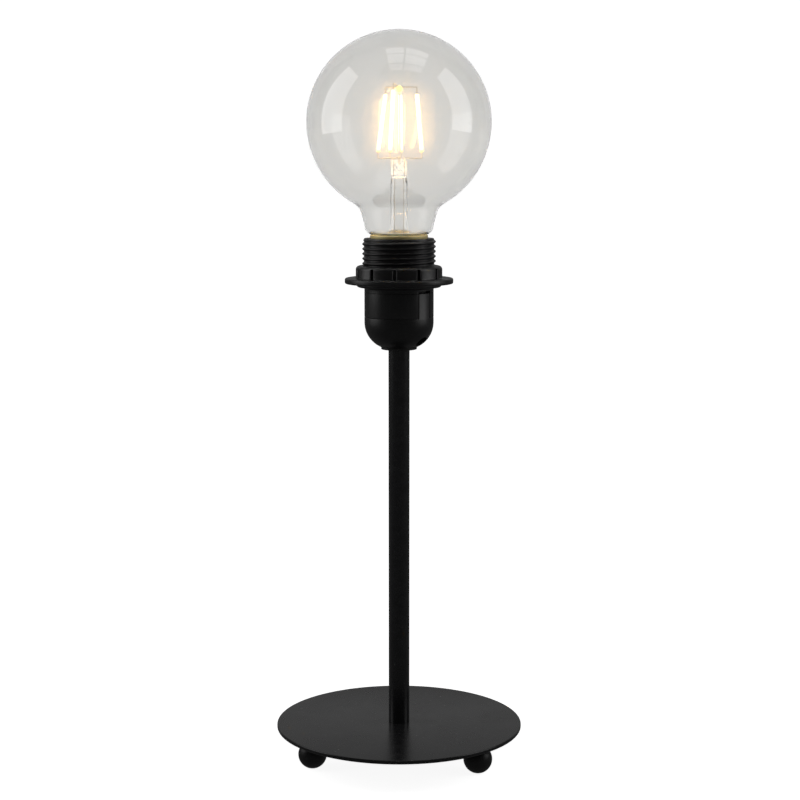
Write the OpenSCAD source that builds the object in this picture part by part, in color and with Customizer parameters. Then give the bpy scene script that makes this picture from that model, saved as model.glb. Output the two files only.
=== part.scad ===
// Bare bulb table lamp.
// A round steel plate on three ball feet carries a slim tube. On top of the tube
// stands a moulded lampholder with a threaded skirt and a screw ring, and in it a
// clear globe bulb with four glowing strips.
// Millimetres. +Z is up, the front of the lamp is -Y, and the origin is on the
// stem's axis at the height of the surface that the feet stand on.

/* [Base] */
// Diameter of the round base plate
base_d = 130; // [110:1:180]
// Thickness of the base plate
base_t = 2; // [1.5:0.1:4]
// Radius that softens the plate's rim, above and below
base_edge_r = 0.5; // [0.2:0.05:0.7]
// Diameter of a ball foot
foot_d = 15; // [14:0.5:22]
// Depth of the flats of a ball foot, where it stands and where it is screwed on
foot_flat = 0.25; // [0.1:0.05:0.6]
// Distance from the plate's rim to the middle of a foot
foot_inset = 15; // [9:0.5:24]
// Direction of the rear foot, seen from above
foot_turn = 85; // [0:1:119]
// Thread diameter of the stud in a foot
stud_d = 4; // [3:0.5:6]
// Length of the stud inside its foot
stud_l = 8; // [5:0.5:10]
// Diameter of the welded flange between a foot and the plate
stud_flange_d = 7; // [6.5:0.5:10]
// Thickness of that flange
stud_flange_t = 2; // [1.2:0.1:4]

/* [Stem] */
// Outer diameter of the stem tube
stem_d = 11; // [10.6:0.1:14]
// Bore of the stem tube, which is the way of the cord
stem_bore_d = 8; // [7.4:0.1:8.6]
// Visible length of the stem, from the plate to the lampholder
stem_h = 199.5; // [120:0.5:400]
// Diameter of the stem's threaded ends
stem_thread_d = 10; // [9.4:0.1:10.4]
// Length of the threaded end in the lampholder
stem_top_l = 9; // [6:0.5:9.5]
// Length of the thread that shows below the nut under the plate
stem_tail_l = 0.8; // [0.3:0.1:2]
// Diameter of the washer under the plate
washer_d = 24; // [20:1:34]
// Thickness of that washer
washer_t = 1.2; // [0.8:0.1:2]
// Width across the flats of the nut under the plate
nut_af = 14; // [13:0.5:19]
// Height of that nut
nut_h = 4; // [2.5:0.5:6]
// Bore of the bushing at the stem's lower end
inlet_d = 6.4; // [4.5:0.1:6.6]
// Length of the bushing inside the tube
inlet_l = 9; // [5:0.5:14]
// Thickness of the bushing's flange
inlet_flange_t = 1.5; // [1:0.1:2.5]

/* [Lampholder] */
// Diameter of the barrel and of the domed cap below it
holder_d = 35.9; // [35.4:0.1:36.6]
// Wall thickness of the domed cap
cap_wall = 2; // [1.4:0.1:2.2]
// Height of the domed cap
cap_h = 17.3; // [16:0.1:22]
// Radius of the dome's rounding
dome_r = 14; // [12.5:0.1:14.5]
// Diameter of the collar that stands on the stem
collar_d = 18.6; // [16:0.1:20]
// Diameter of the threaded boss inside the domed cap
boss_d = 14.4; // [13:0.1:14.6]
// Height of that boss
boss_h = 10; // [9.6:0.1:12]
// Height of the plain barrel between the domed cap and the shoulder
barrel_h = 14.8; // [14.6:0.1:20]
// Diameter of the shoulder that carries the screw ring
shoulder_d = 43.9; // [41:0.1:48]
// Thickness of the shoulder
shoulder_t = 1.8; // [1.4:0.1:3]
// Outer diameter of the skirt's thread
skirt_thread_d = 37.9; // [37.4:0.1:38.6]
// Depth of the skirt's thread
skirt_thread_depth = 0.95; // [0.4:0.05:1.1]
// Pitch of the skirt's thread
skirt_pitch = 2.5; // [2:0.1:3]
// Length of the threaded skirt above the shoulder
skirt_h = 24; // [20:0.5:28]
// Bore of the skirt, where the bulb goes in
skirt_bore_d = 30.8; // [30.2:0.1:31.4]
// Width of a latch tongue
latch_w = 8; // [6:0.5:10]
// Height of a latch tongue above the domed cap
latch_h = 13; // [9:0.5:13.5]
// Direction of the first latch tongue, counted from the front towards the right
latch_turn = 48.3; // [20:0.1:80]
// Gap between a latch tongue and its window
latch_gap = 0.35; // [0.2:0.05:0.6]
// Dark gap above the end of a latch tongue
latch_gap_top = 1.4; // [0.8:0.1:1.8]
// Diameter of the side entry for a cord in the dome
entry_d = 7; // [5:0.1:7.4]
// Direction of the side entry, counted from the front towards the right
entry_turn = 57; // [40:1:75]
// Angle of the side entry below the horizontal
entry_tilt = 45; // [40:1:50]
// Length of the side entry's straight bore, measured from inside the dome
entry_boss_l = 1.5; // [1:0.1:2]

/* [Contacts] */
// Depth from the skirt's edge to the tip of the centre contact
socket_depth = 25; // [24:0.1:26]
// Height of the contact block
block_h = 9; // [8:0.1:10]
// Height of the spring contact above the contact block
contact_rise = 3.2; // [2.6:0.1:3.6]
// Width of the spring contact
contact_w = 6; // [4:0.5:7]
// Thickness of the spring contact
contact_t = 0.5; // [0.3:0.05:0.8]
// Inner diameter of the screw shell
shell_d = 26.9; // [26.7:0.1:27.4]
// Sheet thickness of the screw shell
shell_t = 0.4; // [0.3:0.05:0.6]
// Height of the screw shell
shell_h = 23; // [18:0.5:24]
// Width of a terminal
terminal_w = 6; // [5:0.1:6.4]
// Height of a terminal
terminal_h = 7; // [5.5:0.1:7.2]

/* [Screw ring] */
// Diameter of the ring's flange
ring_flange_d = 56.2; // [50:0.1:64]
// Thickness of the ring's flange
ring_flange_t = 3.9; // [3:0.1:5]
// Radius of the flange's rounded rim
ring_rim_r = 1.3; // [0.5:0.1:1.4]
// Diameter of the ring's hub
ring_hub_d = 44.8; // [43:0.1:48]
// Height of the hub above the flange
ring_hub_h = 6.5; // [5:0.1:9]
// Chamfer at the top of the hub
ring_chamfer = 1.8; // [0.8:0.1:2]
// Number of grip slots around the hub
ring_slots = 11; // [8:1:14]
// Width of a grip slot
slot_w = 2.2; // [1.4:0.1:3]
// Depth of a grip slot
slot_depth = 1.5; // [0.8:0.1:1.6]
// Height of a grip slot above the flange
slot_h = 5.4; // [4:0.1:5.8]
// Direction of the slot nearest to the front, counted towards the right
slot_turn = -5.7; // [-16:0.1:16]

/* [Bulb] */
// Diameter of the glass globe
globe_d = 95; // [80:1:125]
// Thickness of the glass
glass_t = 0.8; // [0.5:0.1:1.2]
// Height of the globe's middle above the rim of the bulb's cap
globe_rise = 57; // [50:0.5:75]
// Diameter of the neck where it meets the globe
neck_top_d = 41.4; // [39:0.1:44]
// Diameter of the neck above its rounded end
neck_d = 35.8; // [35:0.1:37]
// Radius of the rounding at the neck's lower end
neck_round_r = 4.8; // [3.6:0.1:5.4]
// Height of the bulb's cap, from its rim to the tip of the button
screw_cap_h = 27; // [26:0.1:28]
// Diameter of the cap's flared rim
screw_rim_d = 30; // [29:0.1:30.2]
// Outer diameter of the cap's thread
screw_d = 26.2; // [25.8:0.05:26.3]
// Depth of the cap's thread
screw_depth = 0.8; // [0.4:0.05:1]
// Pitch of the cap's thread
screw_pitch = 3.629; // [3.2:0.001:3.8]
// Sheet thickness of the cap
screw_t = 0.35; // [0.25:0.05:0.5]
// Diameter of the contact button
button_d = 10; // [8:0.1:11.4]

/* [Filament cage] */
// Diameter of a glowing strip
strip_d = 1.9; // [1.2:0.1:2.6]
// Height of the strips' upper ends above the globe's middle
cage_top = 14.8; // [10:0.1:18]
// Depth of the strips' lower ends below the globe's middle
cage_bottom = 15.6; // [10:0.1:18]
// Radius of the cage at its upper end
cage_top_r = 7.4; // [5:0.1:12]
// Radius of the cage at its lower end
cage_bottom_r = 11.7; // [8:0.1:16]
// Thickness of the support wires
wire_d = 0.6; // [0.4:0.05:1]
// Diameter of the glass mount's tube
mount_d = 9; // [7:0.1:11]
// Height of the flattened press at the mount's upper end
press_h = 8; // [6:0.5:10]

/* [Hidden] */
$fn = 64;

// A hair's breadth that lets one cut run out of a face
over = 0.5;
// Play of threaded and pushed-in pieces, on the radius
fit_gap = 0.05;
// Play between the ring and the lampholder, and between the bulb and its contact
rest_gap = 0.1;
// Play of the ring around the crests of the skirt's thread, on the radius
ring_play = 0.2;

// Base, from the floor up
foot_h = foot_d - 2 * foot_flat;
foot_mid_z = foot_d / 2 - foot_flat;
foot_circle_r = base_d / 2 - foot_inset;
foot_angles = [foot_turn + 120, foot_turn + 240, foot_turn];
plate_z = foot_h + stud_flange_t;
deck_z = plate_z + base_t;
washer_z = plate_z - washer_t;
nut_z = washer_z - nut_h;
tail_z = nut_z - stem_tail_l;
thread_hole_d = stem_thread_d + 2 * fit_gap;

// Lampholder, from the stem's upper end
holder_z = deck_z + stem_h;
joint_z = holder_z + cap_h;
shoulder_z = joint_z + barrel_h;
seat_z = shoulder_z + shoulder_t;
skirt_top_z = seat_z + skirt_h;
dome_mid_r = holder_d / 2 - dome_r;
dome_mid_z = holder_z + 14.5;
dome_sweep = acos((collar_d / 2 - dome_mid_r) / dome_r);
dome_floor_z = dome_mid_z - dome_r + cap_wall;
cap_bore_r = holder_d / 2 - cap_wall;
tip_z = skirt_top_z - socket_depth;
block_top_z = tip_z - contact_rise;
block_z = block_top_z - block_h;
block_d = 2 * cap_bore_r - 4 * fit_gap;
shell_out_d = shell_d + 2 * shell_t;
shell_mouth_r = shell_out_d / 2 - 3.4;
window_r = cap_bore_r + 0.1;
thread_root_d = skirt_thread_d - 2 * skirt_thread_depth;

// Terminals and rivets, left and right of the middle
leaf_rivet_x = -7;
shell_rivet_x = shell_d / 2 - 1.6;
terminal_x = [leaf_rivet_x - 0.5, shell_rivet_x - 1.5];
rivet_d = 2.2;
terminal_top_z = block_z + terminal_h;

// Bulb, from its button up
button_z = tip_z + rest_gap;
rim_z = button_z + screw_cap_h;
globe_z = rim_z + globe_rise;
neck_meet_z = globe_z - sqrt(pow(globe_d / 2, 2) - pow(neck_top_d / 2, 2));
neck_round_z = rim_z + neck_round_r - 0.4;
neck_mouth_r = neck_d / 2 - neck_round_r;
thread_low_z = button_z + 6.3;
screw_turns = 4;
thread_high_z = thread_low_z + screw_turns * screw_pitch;
insulator_z = button_z + 1.4;

// Filament cage: direction, extra upper radius and extra height of each strip
strip_turn = [158, 247, 0, 88];
strip_flare = [0, 0, 1.7, 0];
strip_rise = [0, 1.8, 0, 0];
strip_top_z = globe_z + cage_top;
strip_low_z = globe_z - cage_bottom;
pin_l = 3;
spider_z = strip_top_z + pin_l;
press_top_z = strip_low_z - pin_l - wire_d / 2;
press_z = press_top_z - press_h;
press_w = mount_d - 1;
press_t = mount_d * 0.55;
post_d = 1.8;
bead_d = 3.4;
lead_x = mount_d * 0.27;
wire_seat = 0.02;
board_z = rim_z - 11;
board_t = 1.2;
board_d = 18;

// Points of an arc, for outlines
function arc(x, y, r, from, to, steps = 8) =
    [for (i = [0:steps]) let (a = from + (to - from) * i / steps) [x + r * cos(a), y + r * sin(a)]];

// Place of a strip's end: which strip, radius and height
function on_cage(i, r, z) = [r * cos(strip_turn[i]), r * sin(strip_turn[i]), z];
function strip_top(i) = on_cage(i, cage_top_r + strip_flare[i], strip_top_z + strip_rise[i]);
function strip_low(i) = on_cage(i, cage_bottom_r, strip_low_z);

// Turns a shape drawn along +X towards a direction counted from the front to the right
module from_front(turn) {
    rotate([0, 0, turn - 90]) children();
}

// A round bar between two points
module bar(a, b, d, faces = 16) {
    v = b - a;
    l = norm(v);
    translate(a)
        rotate([0, acos(v[2] / l), atan2(v[1], v[0])])
            cylinder(d = d, h = l, $fn = faces);
}

// ---- Base ----

// Round plate with softened edges and a hole for the stem's thread
module base_plate() {
    e = base_edge_r;
    color("#26272a")
        translate([0, 0, plate_z])
            rotate_extrude($fn = 128)
                polygon(concat(
                    [[thread_hole_d / 2, 0]],
                    arc(base_d / 2 - e, e, e, -90, 0, 4),
                    arc(base_d / 2 - e, base_t - e, e, 0, 90, 4),
                    [[thread_hole_d / 2, base_t]]
                ));
}

// Ball with a small flat below, a flat for its flange above and a blind threaded hole
module ball_foot(angle) {
    color("#0d0d0e")
        rotate([0, 0, angle])
            translate([foot_circle_r, 0, 0])
                difference() {
                    intersection() {
                        translate([0, 0, foot_mid_z]) sphere(d = foot_d);
                        cylinder(d = foot_d + 1, h = foot_h);
                    }
                    translate([0, 0, foot_h - stud_l - over])
                        cylinder(d = stud_d + 2 * fit_gap, h = stud_l + 2 * over);
                }
}

module ball_foot_left() { ball_foot(foot_angles[0]); }
module ball_foot_right() { ball_foot(foot_angles[1]); }
module ball_foot_rear() { ball_foot(foot_angles[2]); }

// Threaded studs, welded under the plate by their flanges
module foot_studs() {
    color("#8b8d90")
        for (angle = foot_angles)
            rotate([0, 0, angle])
                translate([foot_circle_r, 0, 0]) {
                    translate([0, 0, foot_h]) cylinder(d = stud_flange_d, h = stud_flange_t);
                    translate([0, 0, foot_h - stud_l]) cylinder(d = stud_d, h = stud_l + over);
                }
}

// ---- Stem ----

// Tube with both ends turned down to the thread, so that its steps seat on the plate
// and under the collar
module stem_tube() {
    color("#1b1b1d")
        difference() {
            union() {
                translate([0, 0, deck_z]) cylinder(d = stem_d, h = stem_h);
                translate([0, 0, tail_z])
                    cylinder(d = stem_thread_d, h = holder_z + stem_top_l - tail_z);
            }
            translate([0, 0, tail_z - over])
                cylinder(d = stem_bore_d, h = holder_z + stem_top_l - tail_z + 2 * over);
        }
}

module base_washer() {
    color("#a9abad")
        translate([0, 0, washer_z])
            difference() {
                cylinder(d = washer_d, h = washer_t);
                translate([0, 0, -over]) cylinder(d = thread_hole_d, h = washer_t + 2 * over);
            }
}

// Hexagon nut with chamfered corners
module base_nut() {
    corner_d = nut_af / cos(30);
    color("#9b9da0")
        translate([0, 0, nut_z])
            difference() {
                intersection() {
                    cylinder(d = corner_d, h = nut_h, $fn = 6);
                    cylinder(d1 = corner_d - 1.2, d2 = corner_d - 1.2 + 2 * nut_h, h = nut_h);
                }
                translate([0, 0, -over]) cylinder(d = thread_hole_d, h = nut_h + 2 * over);
            }
}

// Flanged plastic bushing in the stem's lower end, with rounded lips for the cord
module cord_bushing() {
    lip = 0.5;
    bore_r = inlet_d / 2;
    body_r = stem_bore_d / 2 - fit_gap;
    color("#17171a")
        translate([0, 0, tail_z])
            rotate_extrude()
                polygon(concat(
                    arc(bore_r + lip, lip - inlet_flange_t, lip, 180, 270, 4),
                    [[stem_thread_d / 2, -inlet_flange_t], [stem_thread_d / 2, 0],
                     [body_r, 0], [body_r, inlet_l]],
                    [[bore_r + lip / 2, inlet_l], [bore_r, inlet_l - lip / 2]]
                ));
}

// ---- Lampholder ----

// Domed cap: collar, dome, threaded boss, spigot, two latch tongues and the side entry
module holder_cap() {
    spigot_r = block_d / 2;
    color("#1a1a1c")
        difference() {
            union() {
                rotate_extrude()
                    polygon(concat(
                        [[cap_bore_r, joint_z], [holder_d / 2, joint_z]],
                        arc(dome_mid_r, dome_mid_z, dome_r, 0, -dome_sweep, 14),
                        [[collar_d / 2, holder_z + 0.3], [collar_d / 2 - 0.3, holder_z],
                         [boss_d / 2 - 1, holder_z], [boss_d / 2 - 1, dome_floor_z]],
                        arc(dome_mid_r, dome_mid_z, dome_r - cap_wall, -90, 0, 10)
                    ));
                translate([0, 0, holder_z + 0.2]) cylinder(d = boss_d, h = boss_h - 0.2);
                // The spigot holds the contact block up against the skirt's ledge
                cylinder_band(spigot_r - 1.5, spigot_r, joint_z - 1.5, block_z);
                cylinder_band(spigot_r - 0.3, cap_bore_r + 0.3, joint_z - 1.5, joint_z - 0.2);
                for (turn = [latch_turn, latch_turn + 180]) latch_tongue(turn);
                // Straight wall round the side entry
                side_entry() translate([0, 0, dome_r - cap_wall - entry_boss_l])
                    cylinder(d = entry_d + 3, h = cap_wall / 2 + entry_boss_l);
            }
            translate([0, 0, holder_z - over]) cylinder(d = thread_hole_d, h = boss_h + 2 * over);
            side_entry() translate([0, 0, dome_r - cap_wall - entry_boss_l - 2])
                cylinder(d = entry_d, h = 3 * cap_wall + entry_boss_l + 2);
            grub_place() cylinder(d = 3 + 2 * fit_gap, h = boss_d);
        }
}

// Ring-shaped band between two radii and two heights
module cylinder_band(r_in, r_out, z_low, z_high) {
    translate([0, 0, z_low])
        difference() {
            cylinder(r = r_out, h = z_high - z_low);
            translate([0, 0, -over]) cylinder(r = r_in, h = z_high - z_low + 2 * over);
        }
}

// Places a shape drawn along +Z on the axis of the side entry, from the middle of the
// dome's rounding outwards
module side_entry() {
    from_front(entry_turn)
        translate([dome_mid_r, 0, dome_mid_z])
            rotate([0, 90 + entry_tilt, 0])
                children();
}

// Places a shape drawn along +Z on the axis of the grub screw, outwards from the thread
module grub_place() {
    from_front(entry_turn + 180)
        translate([thread_hole_d / 2 + 0.1, 0, holder_z + 6.4])
            rotate([0, 90, 0])
                children();
}

// Tongue in the curve of the barrel's wall, with a chamfered tip
module latch_tongue(turn) {
    from_front(turn)
        intersection() {
            cylinder_band(window_r, holder_d / 2 - 0.05, joint_z - 1.2, joint_z + latch_h);
            translate([cap_bore_r - 2, -latch_w / 2, joint_z - 2])
                cube([5, latch_w, latch_h + 4]);
        }
}

// Barrel, shoulder and threaded skirt in one moulding, with two latch windows
module holder_skirt() {
    root_r = thread_root_d / 2;
    crest_r = skirt_thread_d / 2;
    ridges = floor((skirt_h - 1.3) / skirt_pitch);
    color("#19191b")
        difference() {
            union() {
                cylinder_band(skirt_bore_d / 2, holder_d / 2, joint_z + 0.02, shoulder_z + 0.2);
                // Rounded shoulder
                rotate_extrude()
                    polygon(concat(
                        [[skirt_bore_d / 2, shoulder_z], [holder_d / 2, shoulder_z]],
                        arc(shoulder_d / 2 - 1.2, seat_z - 0.5, 1.2, -90, 0, 5),
                        [[shoulder_d / 2, seat_z], [skirt_bore_d / 2, seat_z]]
                    ));
                // Thread, drawn as ridges of the same pitch and depth
                rotate_extrude()
                    polygon(concat(
                        [[skirt_bore_d / 2, seat_z - 0.2], [root_r, seat_z - 0.2]],
                        [for (i = [ridges:-1:1]) let (z = skirt_top_z - i * skirt_pitch)
                            each [[root_r, z - 1.1], [crest_r, z - 0.15],
                                  [crest_r, z + 0.15], [root_r, z + 1.1]]],
                        [[root_r, skirt_top_z - 0.3], [root_r - 0.3, skirt_top_z],
                         [skirt_bore_d / 2, skirt_top_z]]
                    ));
            }
            // Wide bore for the contact block, up to its ledge
            translate([0, 0, joint_z - over])
                cylinder(r = cap_bore_r, h = block_top_z - joint_z + over + fit_gap);
            for (turn = [latch_turn, latch_turn + 180]) latch_window(turn);
        }
}

// Space for a latch tongue, open at the barrel's lower edge
module latch_window(turn) {
    w = latch_w + 2 * latch_gap;
    from_front(turn)
        intersection() {
            cylinder_band(window_r - 0.05, holder_d / 2 + 1, joint_z - 1,
                joint_z + latch_h + latch_gap_top);
            translate([cap_bore_r - 2, -w / 2, joint_z - 2]) cube([6, w, latch_h + 6]);
        }
}

// Screw ring: rounded flange below, chamfered hub with arched grip slots above
module shade_ring() {
    low_z = seat_z + rest_gap;
    flange_z = low_z + ring_flange_t;
    top_z = flange_z + ring_hub_h;
    bore_r = skirt_thread_d / 2 + ring_play;
    hub_r = ring_hub_d / 2;
    rim_r = ring_flange_d / 2;
    c = ring_chamfer;
    color("#1c1c1f")
        difference() {
            rotate_extrude()
                polygon(concat(
                    [[bore_r + 0.5, low_z]],
                    arc(rim_r - ring_rim_r, low_z + ring_rim_r, ring_rim_r, -90, 0, 5),
                    arc(rim_r - ring_rim_r, flange_z - ring_rim_r, ring_rim_r, 0, 90, 5),
                    [[hub_r, flange_z]],
                    arc(hub_r - c, top_z - c, c, 0, 90, 5),
                    [[bore_r + 0.5, top_z], [bore_r, top_z - 0.5], [bore_r, low_z + 0.5]]
                ));
            for (i = [0:ring_slots - 1])
                from_front(slot_turn + i * 360 / ring_slots)
                    translate([hub_r - slot_depth, 0, flange_z]) {
                        translate([0, -slot_w / 2, 0]) cube([4, slot_w, slot_h - slot_w / 2]);
                        translate([0, 0, slot_h - slot_w / 2])
                            rotate([0, 90, 0]) cylinder(d = slot_w, h = 4, $fn = 24);
                    }
        }
}

// Screw that locks the lampholder on the stem's thread
module grub_screw() {
    color("#77797c")
        grub_place()
            difference() {
                cylinder(d = 3, h = boss_d / 2 - thread_hole_d / 2 + 1.2, $fn = 24);
                translate([-2, -0.3, boss_d / 2 - thread_hole_d / 2 + 0.5]) cube([4, 0.6, 2]);
            }
}

// ---- Contacts ----

// Ceramic block with pockets for the terminals and holes for the rivets
module contact_block() {
    color("#e9e6df")
        translate([0, 0, block_z])
            difference() {
                cylinder(d = block_d, h = block_h);
                for (x = terminal_x)
                    translate([x - terminal_w / 2 - fit_gap, -terminal_w / 2 - fit_gap, -over])
                        cube([terminal_w + 2 * fit_gap, terminal_w + 2 * fit_gap,
                              terminal_h + over]);
                for (x = [leaf_rivet_x, shell_rivet_x])
                    translate([x, 0, 0]) cylinder(d = rivet_d + 2 * fit_gap, h = block_h + over);
                // Channels for the conductors, across the terminals
                for (x = terminal_x)
                    translate([x - 1.5, -block_d / 2 - over, -over])
                        cube([3, block_d / 2 + over, 3.5 + over]);
            }
}

// Drawn metal shell with an inward bottom flange that lies on the block
module screw_shell() {
    r = shell_d / 2;
    color("#c9a24b")
        difference() {
            translate([0, 0, block_top_z])
                rotate_extrude()
                    polygon([
                        [shell_mouth_r, 0], [r + shell_t, 0],
                        [r + shell_t, shell_h], [r, shell_h],
                        [r, shell_t], [shell_mouth_r, shell_t]
                    ]);
            translate([shell_rivet_x, 0, block_top_z - over])
                cylinder(d = rivet_d + 2 * fit_gap, h = shell_t + 2 * over, $fn = 32);
        }
}

// Springy strip: it lies on the block at its rivet and rises to the middle
module centre_contact() {
    t = contact_t;
    rise = contact_rise;
    foot = leaf_rivet_x - 2.2;
    color("#b8883d")
        translate([0, 0, block_top_z])
            difference() {
                translate([0, contact_w / 2, 0])
                    rotate([90, 0, 0])
                        linear_extrude(contact_w)
                            polygon([
                                [foot, 0], [foot + 4.6, 0],
                                [-1.6, rise - t], [1.6, rise - t], [3, rise - 2.2 * t],
                                [3.3, rise - 1.4 * t], [1.8, rise], [-1.8, rise],
                                [foot + 4.4, t], [foot, t]
                            ]);
                translate([leaf_rivet_x, 0, -over])
                    cylinder(d = rivet_d + 2 * fit_gap, h = t + 2 * over, $fn = 32);
            }
}

// Two brass terminals, drilled across for the conductor and from below for the screw
module terminals() {
    color("#c8a860")
        for (x = terminal_x)
            translate([x, 0, block_z])
                difference() {
                    translate([-terminal_w / 2, -terminal_w / 2, 0])
                        cube([terminal_w, terminal_w, terminal_h]);
                    translate([0, terminal_w, 2]) rotate([90, 0, 0])
                        cylinder(d = 2.4, h = 2 * terminal_w, $fn = 32);
                    translate([0, 0, -over]) cylinder(d = 3 + 2 * fit_gap, h = 4 + over);
                }
}

module terminal_screws() {
    color("#b9bbbd")
        for (x = terminal_x)
            translate([x, 0, block_z - 1.8])
                difference() {
                    union() {
                        cylinder(d = 5, h = 1.8);
                        cylinder(d = 3, h = 3);
                    }
                    translate([-3, -0.4, -over]) cube([6, 0.8, 0.8 + over]);
                }
}

// Rivets from the terminals up through the spring contact and the shell
module contact_rivets() {
    color("#c9b27a") {
        rivet(leaf_rivet_x, block_top_z + contact_t);
        rivet(shell_rivet_x, block_top_z + shell_t);
    }
}

module rivet(x, head_z) {
    translate([x, 0, terminal_top_z])
        cylinder(d = rivet_d, h = head_z - terminal_top_z + 0.3, $fn = 32);
    translate([x, 0, head_z])
        cylinder(d1 = rivet_d + 1, d2 = rivet_d, h = 0.6, $fn = 32);
}

// ---- Bulb ----

// Outline of the neck, from its mouth to inside the globe, at one distance inside
function neck_line(inset) =
    concat(
        arc(neck_mouth_r, neck_round_z, neck_round_r - inset, -90, 0, 8),
        [[neck_top_d / 2 - inset, neck_meet_z], [neck_top_d / 2 - inset, neck_meet_z + 3]]
    );

// Globe and neck as one thin shell, open at the neck's mouth
module bulb_glass() {
    color("#dfe6ea", 0.35)
        difference() {
            union() {
                translate([0, 0, globe_z]) sphere(d = globe_d, $fn = 128);
                rotate_extrude($fn = 96)
                    polygon(concat([[0, neck_round_z - neck_round_r]], neck_line(0),
                        [[0, neck_meet_z + 3]]));
            }
            translate([0, 0, globe_z]) sphere(d = globe_d - 2 * glass_t, $fn = 128);
            rotate_extrude($fn = 96)
                polygon(concat([[0, neck_round_z - neck_round_r + glass_t]], neck_line(glass_t),
                    [[0, neck_meet_z + 3]]));
            translate([0, 0, rim_z - 5]) cylinder(r = neck_mouth_r, h = 7);
        }
}

// Flare, tube, press and post of glass. The flare closes the neck's mouth
module glass_mount() {
    low_z = neck_round_z - neck_round_r;
    r = mount_d / 2;
    t = 0.8;
    flare_r = neck_mouth_r - fit_gap / 2;
    bend = 4;
    color("#e4eaec", 0.45)
        difference() {
            union() {
                rotate_extrude()
                    polygon(concat(
                        [[flare_r, low_z], [flare_r, low_z + t]],
                        arc(r + bend, low_z + t + bend, bend, 270, 180, 6),
                        [[r, press_z - 1], [r - 1, press_z], [0, press_z], [0, press_z - t]],
                        [[r - t - 1, press_z - t], [r - t, press_z - 1 - t]],
                        arc(r + bend, low_z + t + bend, bend + t, 180, 270, 6)
                    ));
                // Flattened press
                translate([-press_w / 2, -press_t / 2, press_z - 0.4])
                    cube([press_w, press_t, press_h + 0.4]);
                // Post with the bead that holds the upper wires
                translate([0, 0, press_top_z - 0.4])
                    cylinder(d = post_d, h = spider_z - press_top_z + 0.4, $fn = 32);
                translate([0, 0, spider_z]) sphere(d = bead_d, $fn = 32);
            }
            for (x = [-lead_x, lead_x])
                translate([x, 0, press_z - 2])
                    cylinder(d = wire_d + 2 * fit_gap, h = press_h + 4, $fn = 24);
        }
}

// Where a lower wire leaves the press: the side strips hang on the leads, and the
// front and the rear strip on short wires before and behind the post
function lower_root(i) =
    i % 2 == 0 ? [(i - 1) * lead_x, 0, press_top_z] : [0, (i - 2) * press_t / 3, press_top_z];

// Bends of the wires, under and above a strip
function upper_node(i) = on_cage(i, cage_top_r + strip_flare[i], spider_z + strip_rise[i]);
function lower_node(i) = strip_low(i) - [0, 0, pin_l - 0.2];

// Bent wire through a list of points, with its bends mitred by overlap
module wire(points) {
    last = len(points) - 1;
    for (i = [1:last]) {
        a = points[i - 1];
        b = points[i];
        lap = (b - a) / norm(b - a) * wire_d / 2;
        bar(i == 1 ? a : a - lap, i == last ? b : b + lap, wire_d, 8);
    }
}

// Two leads up from the driver, and four wires that carry the strips' lower ends
module lower_wires() {
    color("#8d8378")
        for (i = [0:3]) {
            root = lower_root(i);
            start_z = i % 2 == 0 ? board_z + board_t / 2 : press_top_z;
            wire([[root[0], root[1], start_z], root + [0, 0, 0.9], lower_node(i),
                  strip_low(i) - [0, 0, wire_seat]]);
        }
}

// Four wires from the bead to the strips' upper ends
module upper_wires() {
    color("#8d8378")
        for (i = [0:3])
            wire([on_cage(i, bead_d / 2 + wire_seat, spider_z), upper_node(i),
                  strip_top(i) + [0, 0, wire_seat]]);
}

// Glowing strip: metal ends and the coated middle
module filament(i) {
    a = strip_low(i);
    b = strip_top(i);
    v = (b - a) / norm(b - a);
    color("#ffd98a") {
        bar(a, b, strip_d * 0.5);
        bar(a + 0.7 * v, b - 0.7 * v, strip_d, 24);
    }
}

module filament_left() { filament(0); }
module filament_front() { filament(1); }
module filament_right() { filament(2); }
module filament_rear() { filament(3); }

// Outline of the bulb's cap at one distance inside: rim, flare, rounded thread and lip
function cap_line(inset) =
    concat(
        [[screw_rim_d / 2 - inset, neck_round_z - neck_round_r],
         [screw_rim_d / 2 - inset, neck_round_z - neck_round_r - 0.9],
         [screw_d / 2 + 0.5 - inset, thread_high_z + 1.4],
         [screw_d / 2 - screw_depth - inset, thread_high_z]],
        [for (i = [screw_turns * 8 - 1:-1:1])
            [screw_d / 2 - screw_depth / 2 * (1 + cos(i * 45)) - inset,
             thread_low_z + i * screw_pitch / 8]],
        [[screw_d / 2 - screw_depth - inset, thread_low_z],
         [screw_d / 2 - screw_depth - inset, thread_low_z - 0.8 + inset],
         [screw_d / 2 - 2.4, thread_low_z - 1.5 + inset]]
    );

// Thin brass shell of the bulb's cap
module bulb_cap() {
    outer = cap_line(0);
    inner = cap_line(screw_t);
    color("#c7a04a")
        rotate_extrude()
            polygon(concat(outer, [for (i = [len(inner) - 1:-1:0]) inner[i]]));
}

// Black glass cone between the cap's lip and the button
module cap_insulator() {
    top_z = thread_low_z - 1.5;
    lip_r = screw_d / 2 - 2.4;
    hole_r = 2.5 + fit_gap;
    color("#141416")
        rotate_extrude()
            polygon([
                [hole_r, insulator_z], [button_d / 2 + 0.6, insulator_z],
                [button_d / 2 + 0.9, insulator_z + 0.3],
                [lip_r, top_z], [lip_r, top_z + 0.8], [hole_r, top_z + 0.8]
            ]);
}

// Domed button with a shank in the insulator
module contact_button() {
    h = insulator_z - button_z - fit_gap;
    color("#b9babc")
        translate([0, 0, button_z])
            rotate_extrude()
                polygon([
                    [0, 0], [button_d * 0.24, 0], [button_d * 0.42, h * 0.35],
                    [button_d / 2, h * 0.8], [button_d / 2, h],
                    [2.5, h], [2.5, h + 2.6], [0, h + 2.6]
                ]);
}

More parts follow.
